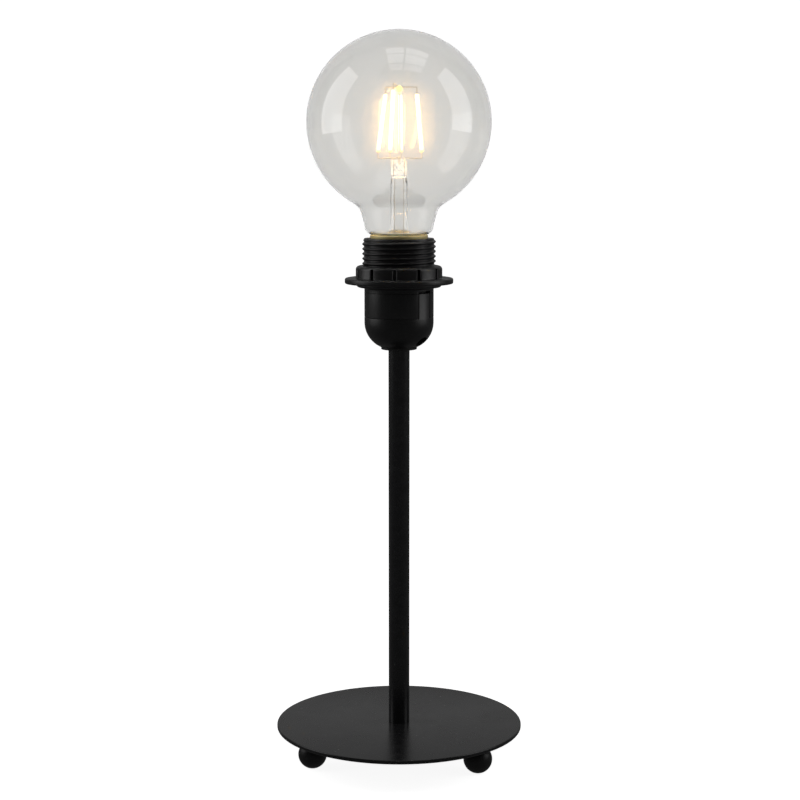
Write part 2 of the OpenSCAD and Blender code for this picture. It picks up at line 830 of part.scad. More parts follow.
// Small round circuit board with its components, held by the two leads
module driver_board() {
    color("#2f6b43")
        translate([0, 0, board_z])
            difference() {
                union() {
                    cylinder(d = board_d, h = board_t);
                    translate([-5, 3.2, 0]) cube([5, 4, board_t + 1.8]);
                    translate([1.2, 3.6, 0]) cube([3.4, 2, board_t + 1.2]);
                    translate([-4.5, -6.4, 0]) cube([3.2, 1.8, board_t + 1]);
                    translate([0.6, -6.8, 0]) cube([3.6, 2.6, board_t + 2.2]);
                }
                for (x = [-lead_x, lead_x])
                    translate([x, 0, -over])
                        cylinder(d = wire_d + 2 * fit_gap, h = board_t + 2 * over, $fn = 24);
            }
}

// Upright capacitor under the board
module driver_capacitor() {
    color("#1d2530")
        translate([0, -0.6, board_z - 8.5])
            union() {
                cylinder(d = 6.3, h = 8);
                translate([0, 0, 8]) cylinder(d = 5, h = 0.5);
            }
}

base_plate();
ball_foot_left();
ball_foot_right();
ball_foot_rear();
foot_studs();
stem_tube();
base_washer();
base_nut();
cord_bushing();
holder_cap();
holder_skirt();
shade_ring();
grub_screw();
contact_block();
screw_shell();
centre_contact();
terminals();
terminal_screws();
contact_rivets();
bulb_glass();
glass_mount();
lower_wires();
upper_wires();
filament_left();
filament_front();
filament_right();
filament_rear();
bulb_cap();
cap_insulator();
contact_button();
driver_board();
driver_capacitor();
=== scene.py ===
"""Bare bulb table lamp: the looks of each piece around its fixed frame.

Shapes are drawn in millimetres in the frame's own axes, +Z up and -Y to the front,
and become metres when a shape is made a piece.
"""

import math

import bmesh
import bpy
from mathutils import Matrix, Vector


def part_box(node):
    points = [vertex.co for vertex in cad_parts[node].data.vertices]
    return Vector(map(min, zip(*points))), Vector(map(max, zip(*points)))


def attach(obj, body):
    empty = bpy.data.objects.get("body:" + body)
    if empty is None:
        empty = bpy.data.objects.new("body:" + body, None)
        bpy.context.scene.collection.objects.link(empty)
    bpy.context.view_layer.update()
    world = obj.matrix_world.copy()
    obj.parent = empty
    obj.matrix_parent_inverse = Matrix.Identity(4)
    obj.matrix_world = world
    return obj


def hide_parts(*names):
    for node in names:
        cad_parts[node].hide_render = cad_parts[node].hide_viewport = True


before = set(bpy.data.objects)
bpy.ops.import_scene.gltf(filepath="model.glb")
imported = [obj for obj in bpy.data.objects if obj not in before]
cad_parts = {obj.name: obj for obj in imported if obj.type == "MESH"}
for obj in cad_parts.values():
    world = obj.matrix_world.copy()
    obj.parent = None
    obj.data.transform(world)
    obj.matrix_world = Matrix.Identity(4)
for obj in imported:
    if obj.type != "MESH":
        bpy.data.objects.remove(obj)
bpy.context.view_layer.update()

MM = 0.001
PLAY = 0.05


# ---- Sizes, read from the frame or measured on the lamp, in millimetres ----

def low_high(node):
    """Lowest and highest corner of a node, in millimetres."""
    low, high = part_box(node)
    return low / MM, high / MM


plate_low, plate_high = low_high("base_plate")
stem_low, stem_high = low_high("stem_tube")
cap_low, _ = low_high("holder_cap")
skirt_low, skirt_high = low_high("holder_skirt")
_, ring_high = low_high("shade_ring")
washer_low, washer_high = low_high("base_washer")
glass_low, glass_high = low_high("bulb_glass")
_, rim_high = low_high("bulb_cap")

PLATE_R = plate_high.x
PLATE_Z = plate_low.z
DECK_Z = plate_high.z
PLATE_EDGE = 0.5
STEM_R = 5.5
STEM_BORE_R = 4.0
STEM_THREAD_R = 5.0
STEM_PITCH = 1.0
STEM_TAIL_Z = stem_low.z
STEM_TOP_Z = stem_high.z
FOOT_D = 15.0
FOOT_FLAT = 0.25
FOOT_TOP_Z = FOOT_D - 2 * FOOT_FLAT
FOOT_CIRCLE_R = 50.0
FOOT_TURNS = {"left": 205, "right": 325, "rear": 85}
STUD_R = 2.0
STUD_LENGTH = 8.0
STUD_FLANGE_R = 3.5
STUD_CHAMFER = 0.4
WELD_R = 0.35
BUSHING_BORE_R = 3.2
BUSHING_LIP = 0.5
BUSHING_HEAD = 1.5
BUSHING_PLUG = 9.0

HOLDER_Z = cap_low.z
COLLAR_Z = HOLDER_Z + 0.4
HOLDER_R = 17.95
CAP_WALL = 2.0
DOME_R = 14.0
DOME_MID_R = HOLDER_R - DOME_R
DOME_MID_Z = HOLDER_Z + 14.5
COLLAR_R = 9.3
BOSS_R = 7.2
BOSS_TOP_Z = HOLDER_Z + 10
JOINT_Z = skirt_low.z - 0.02
SPIGOT_R = 15.85
SPIGOT_WALL = 1.5
BLOCK_Z = 238.7
BLOCK_TOP_Z = 247.7
ENTRY_R = 3.5
ENTRY_TURN = 57
ENTRY_TILT = 45
GRUB_R = 1.55
GRUB_Z = HOLDER_Z + 6.4
LATCH_TURNS = (48.3, 228.3)
LATCH_W = 8.0
LATCH_H = 13.0
LATCH_ROUND = 0.5
LATCH_GAP = 0.55
LATCH_GAP_TOP = 1.2
WINDOW_R = HOLDER_R - CAP_WALL + 0.1

GROOVE_Z = 248.2
GROOVE_DEEP = 0.1
SHOULDER_R = skirt_high.x
SHOULDER_Z = 250.4
SEAT_Z = 252.4
SKIRT_TOP_Z = skirt_high.z
SKIRT_BORE_R = 15.4
SKIRT_CREST_R = 19.05
SKIRT_ROOT_R = 18.15
SKIRT_PITCH = 2.5
SKIRT_FIRST_CREST_Z = 249.2

RING_R = ring_high.x
RING_BORE_R = 19.15
RING_LOW_Z = SEAT_Z + 0.15
RING_TOP_Z = ring_high.z - 0.6
FLANGE_TOP_Z = RING_LOW_Z + 2.85
FLANGE_ROUND = 0.8
HUB_R = 22.4
HUB_ROUND = 1.9
SLOT_COUNT = 11
SLOT_W = 1.7
SLOT_SOFT = 0.6
SLOT_DEEP = 2.6
SLOT_H = 5.5
SLOT_TURN = -5.7

GLOBE_R = glass_high.x
GLOBE_Z = glass_high.z - GLOBE_R
CROWN_SHARE = 0.988
NECK_HOLLOW = 0.1
NECK_SOFT = 3
GLASS_T = 0.8
NECK_Z = glass_low.z
NECK_R = 17.9
NECK_ROUND = 4.8
NECK_TOP_R = 20.7
NECK_ROUND_Z = NECK_Z + NECK_ROUND
MOUTH_R = NECK_R - NECK_ROUND

STRIP_TURNS = {"left": 158, "front": 247, "right": 0, "rear": 85}
STRIP_R = 0.95
STRIP_END_R = 0.45
CAGE_TOP_Z = GLOBE_Z + 14.8
CAGE_LOW_Z = GLOBE_Z - 15.6
CAGE_TOP_R = {"left": 7.4, "front": 7.4, "right": 9.1, "rear": 7.4}
CAGE_RISE = {"left": 0.0, "front": 1.8, "right": 0.0, "rear": 0.0}
CAGE_LOW_R = 11.7
PIN_LENGTH = 3.0
WIRE_R = 0.25
SPIDER_Z = CAGE_TOP_Z + PIN_LENGTH
PRESS_TOP_Z = CAGE_LOW_Z - PIN_LENGTH - WIRE_R
PRESS_Z = PRESS_TOP_Z - 8
PRESS_W = 8.0
PRESS_T = 4.95
MOUNT_R = 4.5
MOUNT_WALL = 0.8
POST_R = 0.9
BEAD_R = 1.7
BEAD_Z = SPIDER_Z - 1.0
LEAD_X = 2.43
HELD_Y = PRESS_T / 3.5
BOARD_Z = 267.6

CAP_RIM_R = rim_high.x
CAP_RIM_Z = rim_high.z
CAP_THREAD_R = 13.1
CAP_THREAD_DEEP = 0.8
CAP_THREAD_LOW_Z = 257.3
CAP_PITCH = 3.629
CAP_TURNS = 4
CAP_SHEET = 0.35


# ---- Shapes ----

def arc(x, y, r, start, end, steps=8):
    """Points of an arc of an outline, by its middle, radius and angles in degrees."""
    turns = [math.radians(start + (end - start) * i / steps) for i in range(steps + 1)]
    return [(x + r * math.cos(turn), y + r * math.sin(turn)) for turn in turns]


def drawn(outline, closed):
    """A shape that holds only an outline, in the plane of X and Z."""
    shape = bmesh.new()
    points = [shape.verts.new((r, 0, z)) for r, z in outline]
    for a, b in zip(points, points[1:]):
        shape.edges.new((a, b))
    if closed:
        shape.edges.new((points[-1], points[0]))
    return shape


def cleaned(shape, seam=1e-4):
    """Closes seams and poles, then turns every face outwards."""
    bmesh.ops.remove_doubles(shape, verts=shape.verts, dist=seam)
    bmesh.ops.dissolve_degenerate(shape, dist=seam, edges=shape.edges)
    bmesh.ops.recalc_face_normals(shape, faces=shape.faces)
    if shape.calc_volume(signed=True) < 0:
        bmesh.ops.reverse_faces(shape, faces=shape.faces)
    return shape


def swept(shape, angle, steps, lift=0.0, merge=False):
    """Sweeps an outline round Z. It may rise a little at each step, or close on itself."""
    bmesh.ops.spin(shape, geom=shape.verts[:] + shape.edges[:], axis=(0, 0, 1), cent=(0, 0, 0),
                   dvec=(0, 0, lift), angle=angle, steps=steps, use_merge=merge)
    return shape


def spun(outline, steps=128, closed=True):
    """Turned shape around Z. An outline that isn't closed starts and ends on the axis."""
    return cleaned(swept(drawn(outline, closed), math.tau, steps, merge=True))


def sector(outline, middle_turn, width_turn, steps=12):
    """Closed outline spun through a part of a turn, with flat ends."""
    shape = drawn(outline, True)
    shape.transform(Matrix.Rotation(math.radians(middle_turn - width_turn / 2), 4, "Z"))
    swept(shape, math.radians(width_turn), steps)
    bmesh.ops.holes_fill(shape, edges=shape.edges, sides=0)
    return cleaned(shape)


def ring_of(shape, outline, height):
    """Edges of one closed loop of points, at one height."""
    points = [shape.verts.new((x, y, height)) for x, y in outline]
    return [shape.edges.new((a, b)) for a, b in zip(points, points[1:] + points[:1])]


def lofted(levels):
    """Closed shape through loops of equally many points, each given with its height."""
    shape = bmesh.new()
    rings = [ring_of(shape, outline, height) for outline, height in levels]
    for a, b in zip(rings, rings[1:]):
        bmesh.ops.bridge_loops(shape, edges=a + b)
    bmesh.ops.holes_fill(shape, edges=rings[0] + rings[-1], sides=0)
    return cleaned(shape)


def joined(*shapes):
    """One shape that holds several closed ones side by side."""
    whole = bmesh.new()
    for shape in shapes:
        mesh = bpy.data.meshes.new("joined")
        shape.to_mesh(mesh)
        shape.free()
        whole.from_mesh(mesh)
        bpy.data.meshes.remove(mesh)
    return whole


def loose(shape, name):
    """A plain object in the scene that holds a shape."""
    mesh = bpy.data.meshes.new(name)
    shape.to_mesh(mesh)
    shape.free()
    made = bpy.data.objects.new(name, mesh)
    bpy.context.scene.collection.objects.link(made)
    return made


def carved(shape, tool, operation="DIFFERENCE"):
    """The shape with a tool's shape cut from it, or added to it."""
    body = loose(shape, "carved")
    cutter = loose(tool, "cutter")
    change = body.modifiers.new("carve", "BOOLEAN")
    change.operation = operation
    change.solver = "EXACT"
    change.object = cutter
    bpy.context.view_layer.update()
    seen = body.evaluated_get(bpy.context.evaluated_depsgraph_get())
    result = bmesh.new()
    result.from_mesh(seen.to_mesh())
    seen.to_mesh_clear()
    for made in (body, cutter):
        mesh = made.data
        bpy.data.objects.remove(made)
        bpy.data.meshes.remove(mesh)
    bmesh.ops.dissolve_degenerate(result, dist=1e-4, edges=result.edges)
    return result


def towards(turn):
    """Turns what is drawn along +X to a direction counted from the front to the right."""
    return Matrix.Rotation(math.radians(turn - 90), 4, "Z")


def between(a, b):
    """Places what is drawn up from the origin so that it runs from a to b."""
    line = Vector(b) - Vector(a)
    return Matrix.Translation(a) @ Vector((0, 0, 1)).rotation_difference(line).to_matrix().to_4x4()


def polar(turn, r, z):
    """Point at a plain angle, radius and height."""
    angle = math.radians(turn)
    return Vector((r * math.cos(angle), r * math.sin(angle), z))


def wound(ridge, pitch, low_z, high_z, first_z, bore_r, top_limit=None, steps=96):
    """Threaded sleeve: a ridge's outline, one pitch high, wound up a right-hand helix,
    cut level at both ends and closed by a plain bore."""
    turns = math.ceil((high_z - low_z) / pitch) + 3
    start_z = first_z - pitch * (math.ceil((first_z - low_z) / pitch) + 1.5)
    shape = swept(drawn([(r, start_z + z) for r, z in ridge], False), math.tau * turns,
                  steps * turns, lift=pitch / steps)
    bmesh.ops.remove_doubles(shape, verts=shape.verts, dist=0.002)
    for z, way in ((high_z, 1), (low_z, -1)):
        bmesh.ops.bisect_plane(shape, geom=shape.verts[:] + shape.edges[:] + shape.faces[:],
                               plane_co=(0, 0, z), plane_no=(0, 0, way), dist=1e-4,
                               clear_outer=True)
    if top_limit:
        for vert in shape.verts:
            reach = top_limit(vert.co.z)
            vert.co.xy *= min(1, reach / vert.co.xy.length)
    rim = [edge for edge in shape.edges if edge.is_boundary and edge.verts[0].co.z > high_z - 0.01]
    foot = [edge for edge in shape.edges if edge.is_boundary and edge.verts[0].co.z < low_z + 0.01]
    for drop in (0, low_z - high_z):
        grown = bmesh.ops.extrude_edge_only(shape, edges=rim)["geom"]
        rim = [item for item in grown if isinstance(item, bmesh.types.BMEdge)]
        for vert in {vert for edge in rim for vert in edge.verts}:
            vert.co.xy *= bore_r / vert.co.xy.length
            vert.co.z += drop
    bmesh.ops.bridge_loops(shape, edges=foot + rim)
    return cleaned(shape)


# ---- Pieces ----

def piece(name, shape, finish, body, slot, *nodes, sharp=32):
    """Makes a shape a piece of the lamp, smooth but for edges past an angle in degrees."""
    bmesh.ops.scale(shape, vec=(MM, MM, MM), verts=shape.verts)
    limit = math.radians(sharp)
    for face in shape.faces:
        face.smooth = True
    for edge in shape.edges:
        edge.smooth = edge.calc_face_angle(0) < limit
    made = loose(shape, name)
    for one in (finish if isinstance(finish, (list, tuple)) else [finish]):
        made.data.materials.append(one)
    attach(made, body)
    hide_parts(*nodes)
    return made


CREST_SWELL = 0.02


def thread_ridge(root_r, crest_r, pitch, crest=0.12, root=0.12):
    """Outline of one thread from the middle of a groove to the next, with round crests."""
    half = pitch / 2
    flank = half - root * pitch - crest * pitch
    deep = crest_r - root_r
    points = [(root_r, 0), (root_r, root * pitch)]
    rise = [(root_r + deep * (0.6 * k / 6 + 0.2 * (1 - math.cos(math.pi * k / 6))),
             root * pitch + flank * k / 6) for k in range(1, 6)]
    points += rise + [(crest_r, half - crest * pitch)]
    points += [(crest_r + CREST_SWELL, half), (crest_r, half + crest * pitch)]
    points += [(r, pitch - z) for r, z in reversed(rise)]
    return points + [(root_r, pitch - root * pitch), (root_r, pitch)]


def make_base(coat, foot, zinc, bushing):
    """Round plate, ball feet with their welded flanges, and what clamps the stem."""
    e = PLATE_EDGE
    hole = STEM_THREAD_R + PLAY
    outline = [(hole, PLATE_Z)]
    outline += arc(PLATE_R - e, PLATE_Z + e, e, -90, 0, 5)
    outline += arc(PLATE_R - e, DECK_Z - e, e, 0, 90, 5)
    outline += [(hole, DECK_Z)]
    piece("plate_disc", spun(outline, 256), coat, "root", "black_coat", "base_plate")

    radius = FOOT_D / 2
    middle = radius - FOOT_FLAT
    low_turn = math.degrees(math.asin(middle / radius))
    hole_r = STUD_R + PLAY
    lead_in = 0.3
    hole_z = FOOT_TOP_Z - STUD_LENGTH - 0.5
    for side, turn in FOOT_TURNS.items():
        outline = [(0, 0)]
        outline += arc(0, middle, radius, -low_turn, low_turn, 40)
        outline += [(hole_r + lead_in, FOOT_TOP_Z), (hole_r, FOOT_TOP_Z - lead_in),
                    (hole_r, hole_z), (0, hole_z)]
        ball = spun(outline, 96, closed=False)
        ball.transform(Matrix.Translation(polar(turn, FOOT_CIRCLE_R, 0)))
        piece(f"foot_{side}", ball, foot, "root", "foot_black", f"ball_foot_{side}")

    studs = []
    for turn in FOOT_TURNS.values():
        z = FOOT_TOP_Z
        tip = z - STUD_LENGTH
        outline = [(0, tip), (STUD_R - STUD_CHAMFER, tip), (STUD_R, tip + STUD_CHAMFER),
                   (STUD_R, z), (STUD_FLANGE_R - 0.2, z), (STUD_FLANGE_R, z + 0.2),
                   (STUD_FLANGE_R, PLATE_Z - WELD_R), (STUD_FLANGE_R + WELD_R, PLATE_Z),
                   (0, PLATE_Z)]
        stud = spun(outline, 48, closed=False)
        stud.transform(Matrix.Translation(polar(turn, FOOT_CIRCLE_R, 0)))
        studs.append(stud)
    piece("welded_studs", joined(*studs), zinc, "root", "zinc_steel", "foot_studs")

    r = washer_high.x
    outline = [(hole, washer_low.z), (r - 0.4, washer_low.z), (r, washer_low.z + 0.3),
               (r, washer_high.z - 0.1), (r - 0.1, washer_high.z), (hole, washer_high.z)]
    piece("clamp_washer", spun(outline, 96), zinc, "root", "zinc_steel", "base_washer")

    bore = BUSHING_BORE_R
    plug_r = STEM_BORE_R - PLAY
    low = STEM_TAIL_Z - BUSHING_HEAD
    high = STEM_TAIL_Z + BUSHING_PLUG
    outline = arc(bore + BUSHING_LIP, low + BUSHING_LIP, BUSHING_LIP, 180, 270, 6)
    outline += [(STEM_THREAD_R - 0.3, low), (STEM_THREAD_R, low + 0.3),
                (STEM_THREAD_R, STEM_TAIL_Z), (plug_r, STEM_TAIL_Z), (plug_r, high),
                (bore + 0.3, high), (bore, high - 0.4)]
    piece("inlet_bushing", spun(outline, 64), bushing, "root", "bushing_plastic",
          "cord_bushing")


def make_stem(coat):
    """Slim tube with its two threaded ends, which start a little inside the tube."""
    deep = 0.5
    inside = 0.3
    ridge = thread_ridge(STEM_THREAD_R - deep, STEM_THREAD_R - CREST_SWELL, STEM_PITCH)
    low = wound(ridge, STEM_PITCH, STEM_TAIL_Z, DECK_Z + inside, STEM_TAIL_Z, STEM_BORE_R,
                lambda z: STEM_THREAD_R - max(0, STEM_TAIL_Z + deep - z), 48)
    high = wound(ridge, STEM_PITCH, COLLAR_Z - inside, STEM_TOP_Z, STEM_TOP_Z, STEM_BORE_R,
                 lambda z: STEM_THREAD_R - max(0, z - STEM_TOP_Z + deep), 48)
    edge = 0.15
    tube = spun([(STEM_BORE_R, DECK_Z), (STEM_R - edge, DECK_Z), (STEM_R, DECK_Z + edge),
                 (STEM_R, COLLAR_Z - edge), (STEM_R - edge, COLLAR_Z),
                 (STEM_BORE_R, COLLAR_Z)], 96)
    piece("stem_pipe", joined(low, tube, high), coat, "root", "black_coat", "stem_tube")


def make_cap(plastic):
    """Domed cap: collar, dome, boss, spigot, latch tongues and the side entry."""
    sweep = math.degrees(math.acos((COLLAR_R - DOME_MID_R) / DOME_R))
    inner = DOME_R - CAP_WALL
    boss_turn = math.degrees(math.acos((BOSS_R - DOME_MID_R) / inner))
    round_r = 0.3
    bore = STEM_THREAD_R + PLAY
    shelf_z = JOINT_Z - 1.5
    spigot_r = SPIGOT_R - SPIGOT_WALL
    outline = [(SPIGOT_R, JOINT_Z), (SPIGOT_R, BLOCK_Z), (spigot_r, BLOCK_Z),
               (spigot_r, shelf_z), (HOLDER_R - CAP_WALL, shelf_z)]
    outline += arc(DOME_MID_R, DOME_MID_Z, inner, 0, -boss_turn, 14)
    outline += [(BOSS_R, BOSS_TOP_Z), (bore, BOSS_TOP_Z), (bore, COLLAR_Z)]
    outline += arc(COLLAR_R - round_r, COLLAR_Z + round_r, round_r, -90, 0, 4)
    outline += arc(DOME_MID_R, DOME_MID_Z, DOME_R, -sweep, 0, 28)
    outline += arc(HOLDER_R - round_r, JOINT_Z - round_r, round_r, 0, 90, 5)
    shape = spun(outline, 192)

    added = []
    r = HOLDER_R - PLAY
    root_z = JOINT_Z - 1.2
    tip = JOINT_Z + LATCH_H
    tongue = [(WINDOW_R, root_z), (r, root_z)]
    tongue += arc(r - LATCH_ROUND, tip - LATCH_ROUND, LATCH_ROUND, 0, 90, 4)
    tongue += [(WINDOW_R, tip)]
    for turn in LATCH_TURNS:
        added.append(sector(tongue, turn - 90, math.degrees(LATCH_W / HOLDER_R), 14))
    entry = (towards(ENTRY_TURN) @ Matrix.Translation((DOME_MID_R, 0, DOME_MID_Z))
             @ Matrix.Rotation(math.radians(90 + ENTRY_TILT), 4, "Y"))
    wall_r = ENTRY_R + 1.5
    wall = spun([(0, inner - 1.5), (wall_r, inner - 1.5), (wall_r, inner + 1), (0, inner + 1)],
                64, closed=False)
    wall.transform(entry)
    added.append(wall)
    shape = carved(shape, joined(*added), "UNION")

    lip = 0.45
    mouth = arc(ENTRY_R + lip, DOME_R - 0.5, lip, 180, 90, 4)
    hole = spun([(0, inner - 4), (ENTRY_R, inner - 4)] + mouth
                + [(ENTRY_R + 1.6, DOME_R + 3), (0, DOME_R + 3)], 96, closed=False)
    hole.transform(entry)
    out = HOLDER_R + 2.05
    grub = spun([(0, bore - 1), (GRUB_R, bore - 1), (GRUB_R, out), (0, out)], 32, closed=False)
    grub.transform(towards(ENTRY_TURN + 180) @ Matrix.Translation((0, 0, GRUB_Z))
                   @ Matrix.Rotation(math.radians(90), 4, "Y"))
    shape = carved(shape, joined(hole, grub))
    piece("domed_cap", shape, plastic, "root", "holder_plastic", "holder_cap")


def make_skirt(plastic, painted_recess_shade):
    """Barrel with its latch windows, rounded shoulder and wound thread."""
    edge = 0.3
    corner = 0.5
    fine = 0.15
    belly = 1.2
    ledge_z = BLOCK_TOP_Z + PLAY
    outline = [(HOLDER_R - CAP_WALL, skirt_low.z)]
    outline += arc(HOLDER_R - edge, skirt_low.z + edge, edge, -90, 0, 5)
    outline += [(HOLDER_R, GROOVE_Z - fine), (HOLDER_R - GROOVE_DEEP, GROOVE_Z),
                (HOLDER_R, GROOVE_Z + fine)]
    outline += arc(HOLDER_R + corner, SHOULDER_Z - corner, corner, 180, 90, 5)
    outline += arc(SHOULDER_R - belly, SEAT_Z - 0.5, belly, -86, 0, 8)
    outline += [(SHOULDER_R, SEAT_Z - fine), (SHOULDER_R - fine, SEAT_Z), (SKIRT_BORE_R, SEAT_Z),
                (SKIRT_BORE_R, ledge_z), (HOLDER_R - CAP_WALL, ledge_z)]
    shape = spun(outline, 192)
    r_in = WINDOW_R - 0.3
    r_out = HOLDER_R + 1
    top = JOINT_Z + LATCH_H + LATCH_GAP_TOP
    window = [(r_in, JOINT_Z - 1), (r_out, JOINT_Z - 1), (r_out, top), (r_in, top)]
    width = math.degrees((LATCH_W + 2 * LATCH_GAP) / HOLDER_R)
    shape = carved(shape, joined(*[sector(window, turn - 90, width, 16)
                                   for turn in LATCH_TURNS]))

    def lead_in(z):
        """Radius that the thread may reach near the skirt's upper edge."""
        if z < SKIRT_TOP_Z - 0.4:
            return SKIRT_ROOT_R + max(0, SKIRT_TOP_Z - 0.5 - z)
        return SKIRT_ROOT_R - 0.5 * (z - SKIRT_TOP_Z + 0.4)

    ridge = thread_ridge(SKIRT_ROOT_R, SKIRT_CREST_R - CREST_SWELL, SKIRT_PITCH, 0.06, 0.08)
    sleeve = wound(ridge, SKIRT_PITCH, SEAT_Z - 0.2, SKIRT_TOP_Z, SKIRT_FIRST_CREST_Z,
                   SKIRT_BORE_R, lead_in, 128)
    shape = carved(shape, sleeve, "UNION")
    # The inner faces of the latch windows get the second, near-black finish: painted shade in the
    # recesses.
    for face in shape.faces:
        middle = face.calc_center_median()
        in_wall = r_in - PLAY < middle.xy.length < HOLDER_R - PLAY
        if in_wall and JOINT_Z + 0.5 < middle.z < top + 0.1:
            face.material_index = 1
    piece("threaded_skirt", shape, [plastic, painted_recess_shade], "root", "holder_plastic", "holder_skirt")


def slot_line(grow):
    """Arched outline of a grip slot, widened all round."""
    r = SLOT_W / 2 + grow
    low = FLANGE_TOP_Z - 0.02
    arch = arc(0, FLANGE_TOP_Z + SLOT_H - SLOT_W / 2, r, 0, 180, 16)
    return [(-r, low)] + [(-x, z) for x, z in arch] + [(r, low)]


def make_ring(plastic, edges):
    """Screw ring: rounded flange, hub with a rounded edge and arched grip slots."""
    f = FLANGE_ROUND
    lead_in = 0.5
    fillet = 0.4
    outline = [(RING_BORE_R + lead_in, RING_LOW_Z)]
    outline += arc(RING_R - f, RING_LOW_Z + f, f, -90, 0, 8)
    outline += arc(RING_R - f, FLANGE_TOP_Z - f, f, 0, 90, 8)
    outline += arc(HUB_R + fillet, FLANGE_TOP_Z + fillet, fillet, -90, -180, 4)
    outline += arc(HUB_R - HUB_ROUND, RING_TOP_Z - HUB_ROUND, HUB_ROUND, 0, 90, 10)
    outline += [(RING_BORE_R + lead_in, RING_TOP_Z), (RING_BORE_R, RING_TOP_Z - lead_in),
                (RING_BORE_R, RING_LOW_Z + lead_in)]
    shape = spun(outline, 264)
    cutters = []
    soft = SLOT_SOFT
    for i in range(SLOT_COUNT):
        levels = [(slot_line(0), HUB_R - SLOT_DEEP)]
        levels += [(slot_line(soft * (1 - math.cos(a))), HUB_R - soft + soft * math.sin(a))
                   for a in [math.radians(90 * k / 4) for k in range(5)]]
        levels += [(slot_line(soft + 0.3), HUB_R + 4)]
        cutter = lofted(levels)
        # The loft rises along Z with its arch along Y, so it is laid down to face outwards
        cutter.transform(towards(SLOT_TURN + i * 360 / SLOT_COUNT)
                         @ Matrix(((0, 0, 1, 0), (1, 0, 0, 0), (0, 1, 0, 0), (0, 0, 0, 1))))
        cutters.append(cutter)
    shape = carved(shape, joined(*cutters))
    # The slots' rounded lips get the second finish, passed in as edges: a paler colour, a painted
    # highlight along the slot outlines.
    for face in shape.faces:
        middle = face.calc_center_median()
        rise = max(0, middle.z - RING_TOP_Z + HUB_ROUND)
        hub_r = HUB_R - HUB_ROUND + math.sqrt(max(0, HUB_ROUND ** 2 - rise ** 2))
        in_lip = HUB_R - soft - 0.02 < middle.xy.length < hub_r - 0.03
        if in_lip and FLANGE_TOP_Z + 0.5 < middle.z < FLANGE_TOP_Z + SLOT_H + soft:
            face.material_index = 1
    piece("screw_ring", shape, [plastic, edges], "ring", "holder_plastic", "shade_ring")


def neck_outline(inset):
    """Outline of the neck from its mouth up to the globe, at one distance inside."""
    points = arc(MOUTH_R, NECK_ROUND_Z, NECK_ROUND - inset, -90, 0, 10)
    meet_r = NECK_TOP_R - inset
    meet_z = GLOBE_Z - math.sqrt((GLOBE_R - inset) ** 2 - meet_r ** 2)
    first_r, first_z = points[-1]
    steps = 8
    for k in range(1, steps):
        share = k / steps
        hollow = NECK_HOLLOW * math.sin(math.pi * share)
        points.append((first_r + (meet_r - first_r) * share - hollow,
                       first_z + (meet_z - first_z) * share))
    return points, meet_r


def globe_outline(inset, rows=72):
    """Outline of neck and globe, from the mouth up to the pole."""
    neck, meet_r = neck_outline(inset)
    start = -math.degrees(math.acos(meet_r / (GLOBE_R - inset)))
    ball = arc(0, GLOBE_Z, GLOBE_R - inset, start, 90, rows)
    line = neck + [(r, z if z < GLOBE_Z else GLOBE_Z + (z - GLOBE_Z) * CROWN_SHARE)
                   for r, z in ball]
    corner = len(neck)
    for reach in range(NECK_SOFT, 0, -1):
        near = range(corner - reach, corner + reach + 1)
        line[near[0]:near[-1] + 1] = [
            tuple((a + 2 * b + c) / 4 for a, b, c in zip(line[k - 1], line[k], line[k + 1]))
            for k in near]
    return line


def make_glass(glass):
    """Globe and neck as one thin wall."""
    outer = globe_outline(0)
    inner = globe_outline(GLASS_T)
    outer[-1] = (0, outer[-1][1])
    inner[-1] = (0, inner[-1][1])
    shape = spun(list(reversed(outer)) + inner, 192, closed=False)
    piece("globe", shape, glass, "bulb", "globe_glass", "bulb_glass", sharp=50)


def make_mount(glass):
    """Flare, tube, flattened press and post with its bead, in one glass shape."""
    t = MOUNT_WALL
    r = MOUNT_R
    low = NECK_Z
    flare = MOUTH_R - PLAY / 2
    bend = 4
    top_round = 0.8
    outline = [(flare, low), (flare, low + t)]
    outline += arc(r + bend, low + t + bend, bend, 270, 180, 10)
    tube = 5
    outline += [(r, low + t + bend + (PRESS_Z - low - t - bend) * k / tube)
                for k in range(1, tube + 1)]
    outline += [(r, PRESS_Z + (PRESS_TOP_Z - PRESS_Z) * k / 8) for k in range(1, 8)]
    outline += arc(r - top_round, PRESS_TOP_Z - top_round, top_round, 0, 90, 4)
    outline += [(r * 0.5, PRESS_TOP_Z), (0, PRESS_TOP_Z)]
    inner = [(0, PRESS_Z - t)]
    inner += [(r - t - 0.6, PRESS_Z - t), (r - t, PRESS_Z - t - 1)]
    inner += arc(r + bend, low + t + bend, bend + t, 180, 270, 10)
    shape = spun(list(reversed(outline)) + list(reversed(inner)), 64, closed=False)
    for vert in shape.verts:
        share = min(1, max(0, (vert.co.z - PRESS_Z + 3) / 5))
        share = share * share * (3 - 2 * share)
        vert.co.y *= 1 + (PRESS_T / 2 / r - 1) * share
        vert.co.x *= 1 + (PRESS_W / 2 / r - 1) * share
    post = [(0, PRESS_TOP_Z - 0.4), (POST_R + 0.5, PRESS_TOP_Z - 0.4),
            (POST_R, PRESS_TOP_Z + 0.6)]
    sweep = math.degrees(math.acos(POST_R / BEAD_R))
    post += arc(0, BEAD_Z, BEAD_R, -sweep, 90, 14)
    post[-1] = (0, post[-1][1])
    shape = carved(shape, spun(post, 48, closed=False), "UNION")
    piece("glass_stand", shape, glass, "bulb", "mount_glass", "glass_mount", sharp=50)


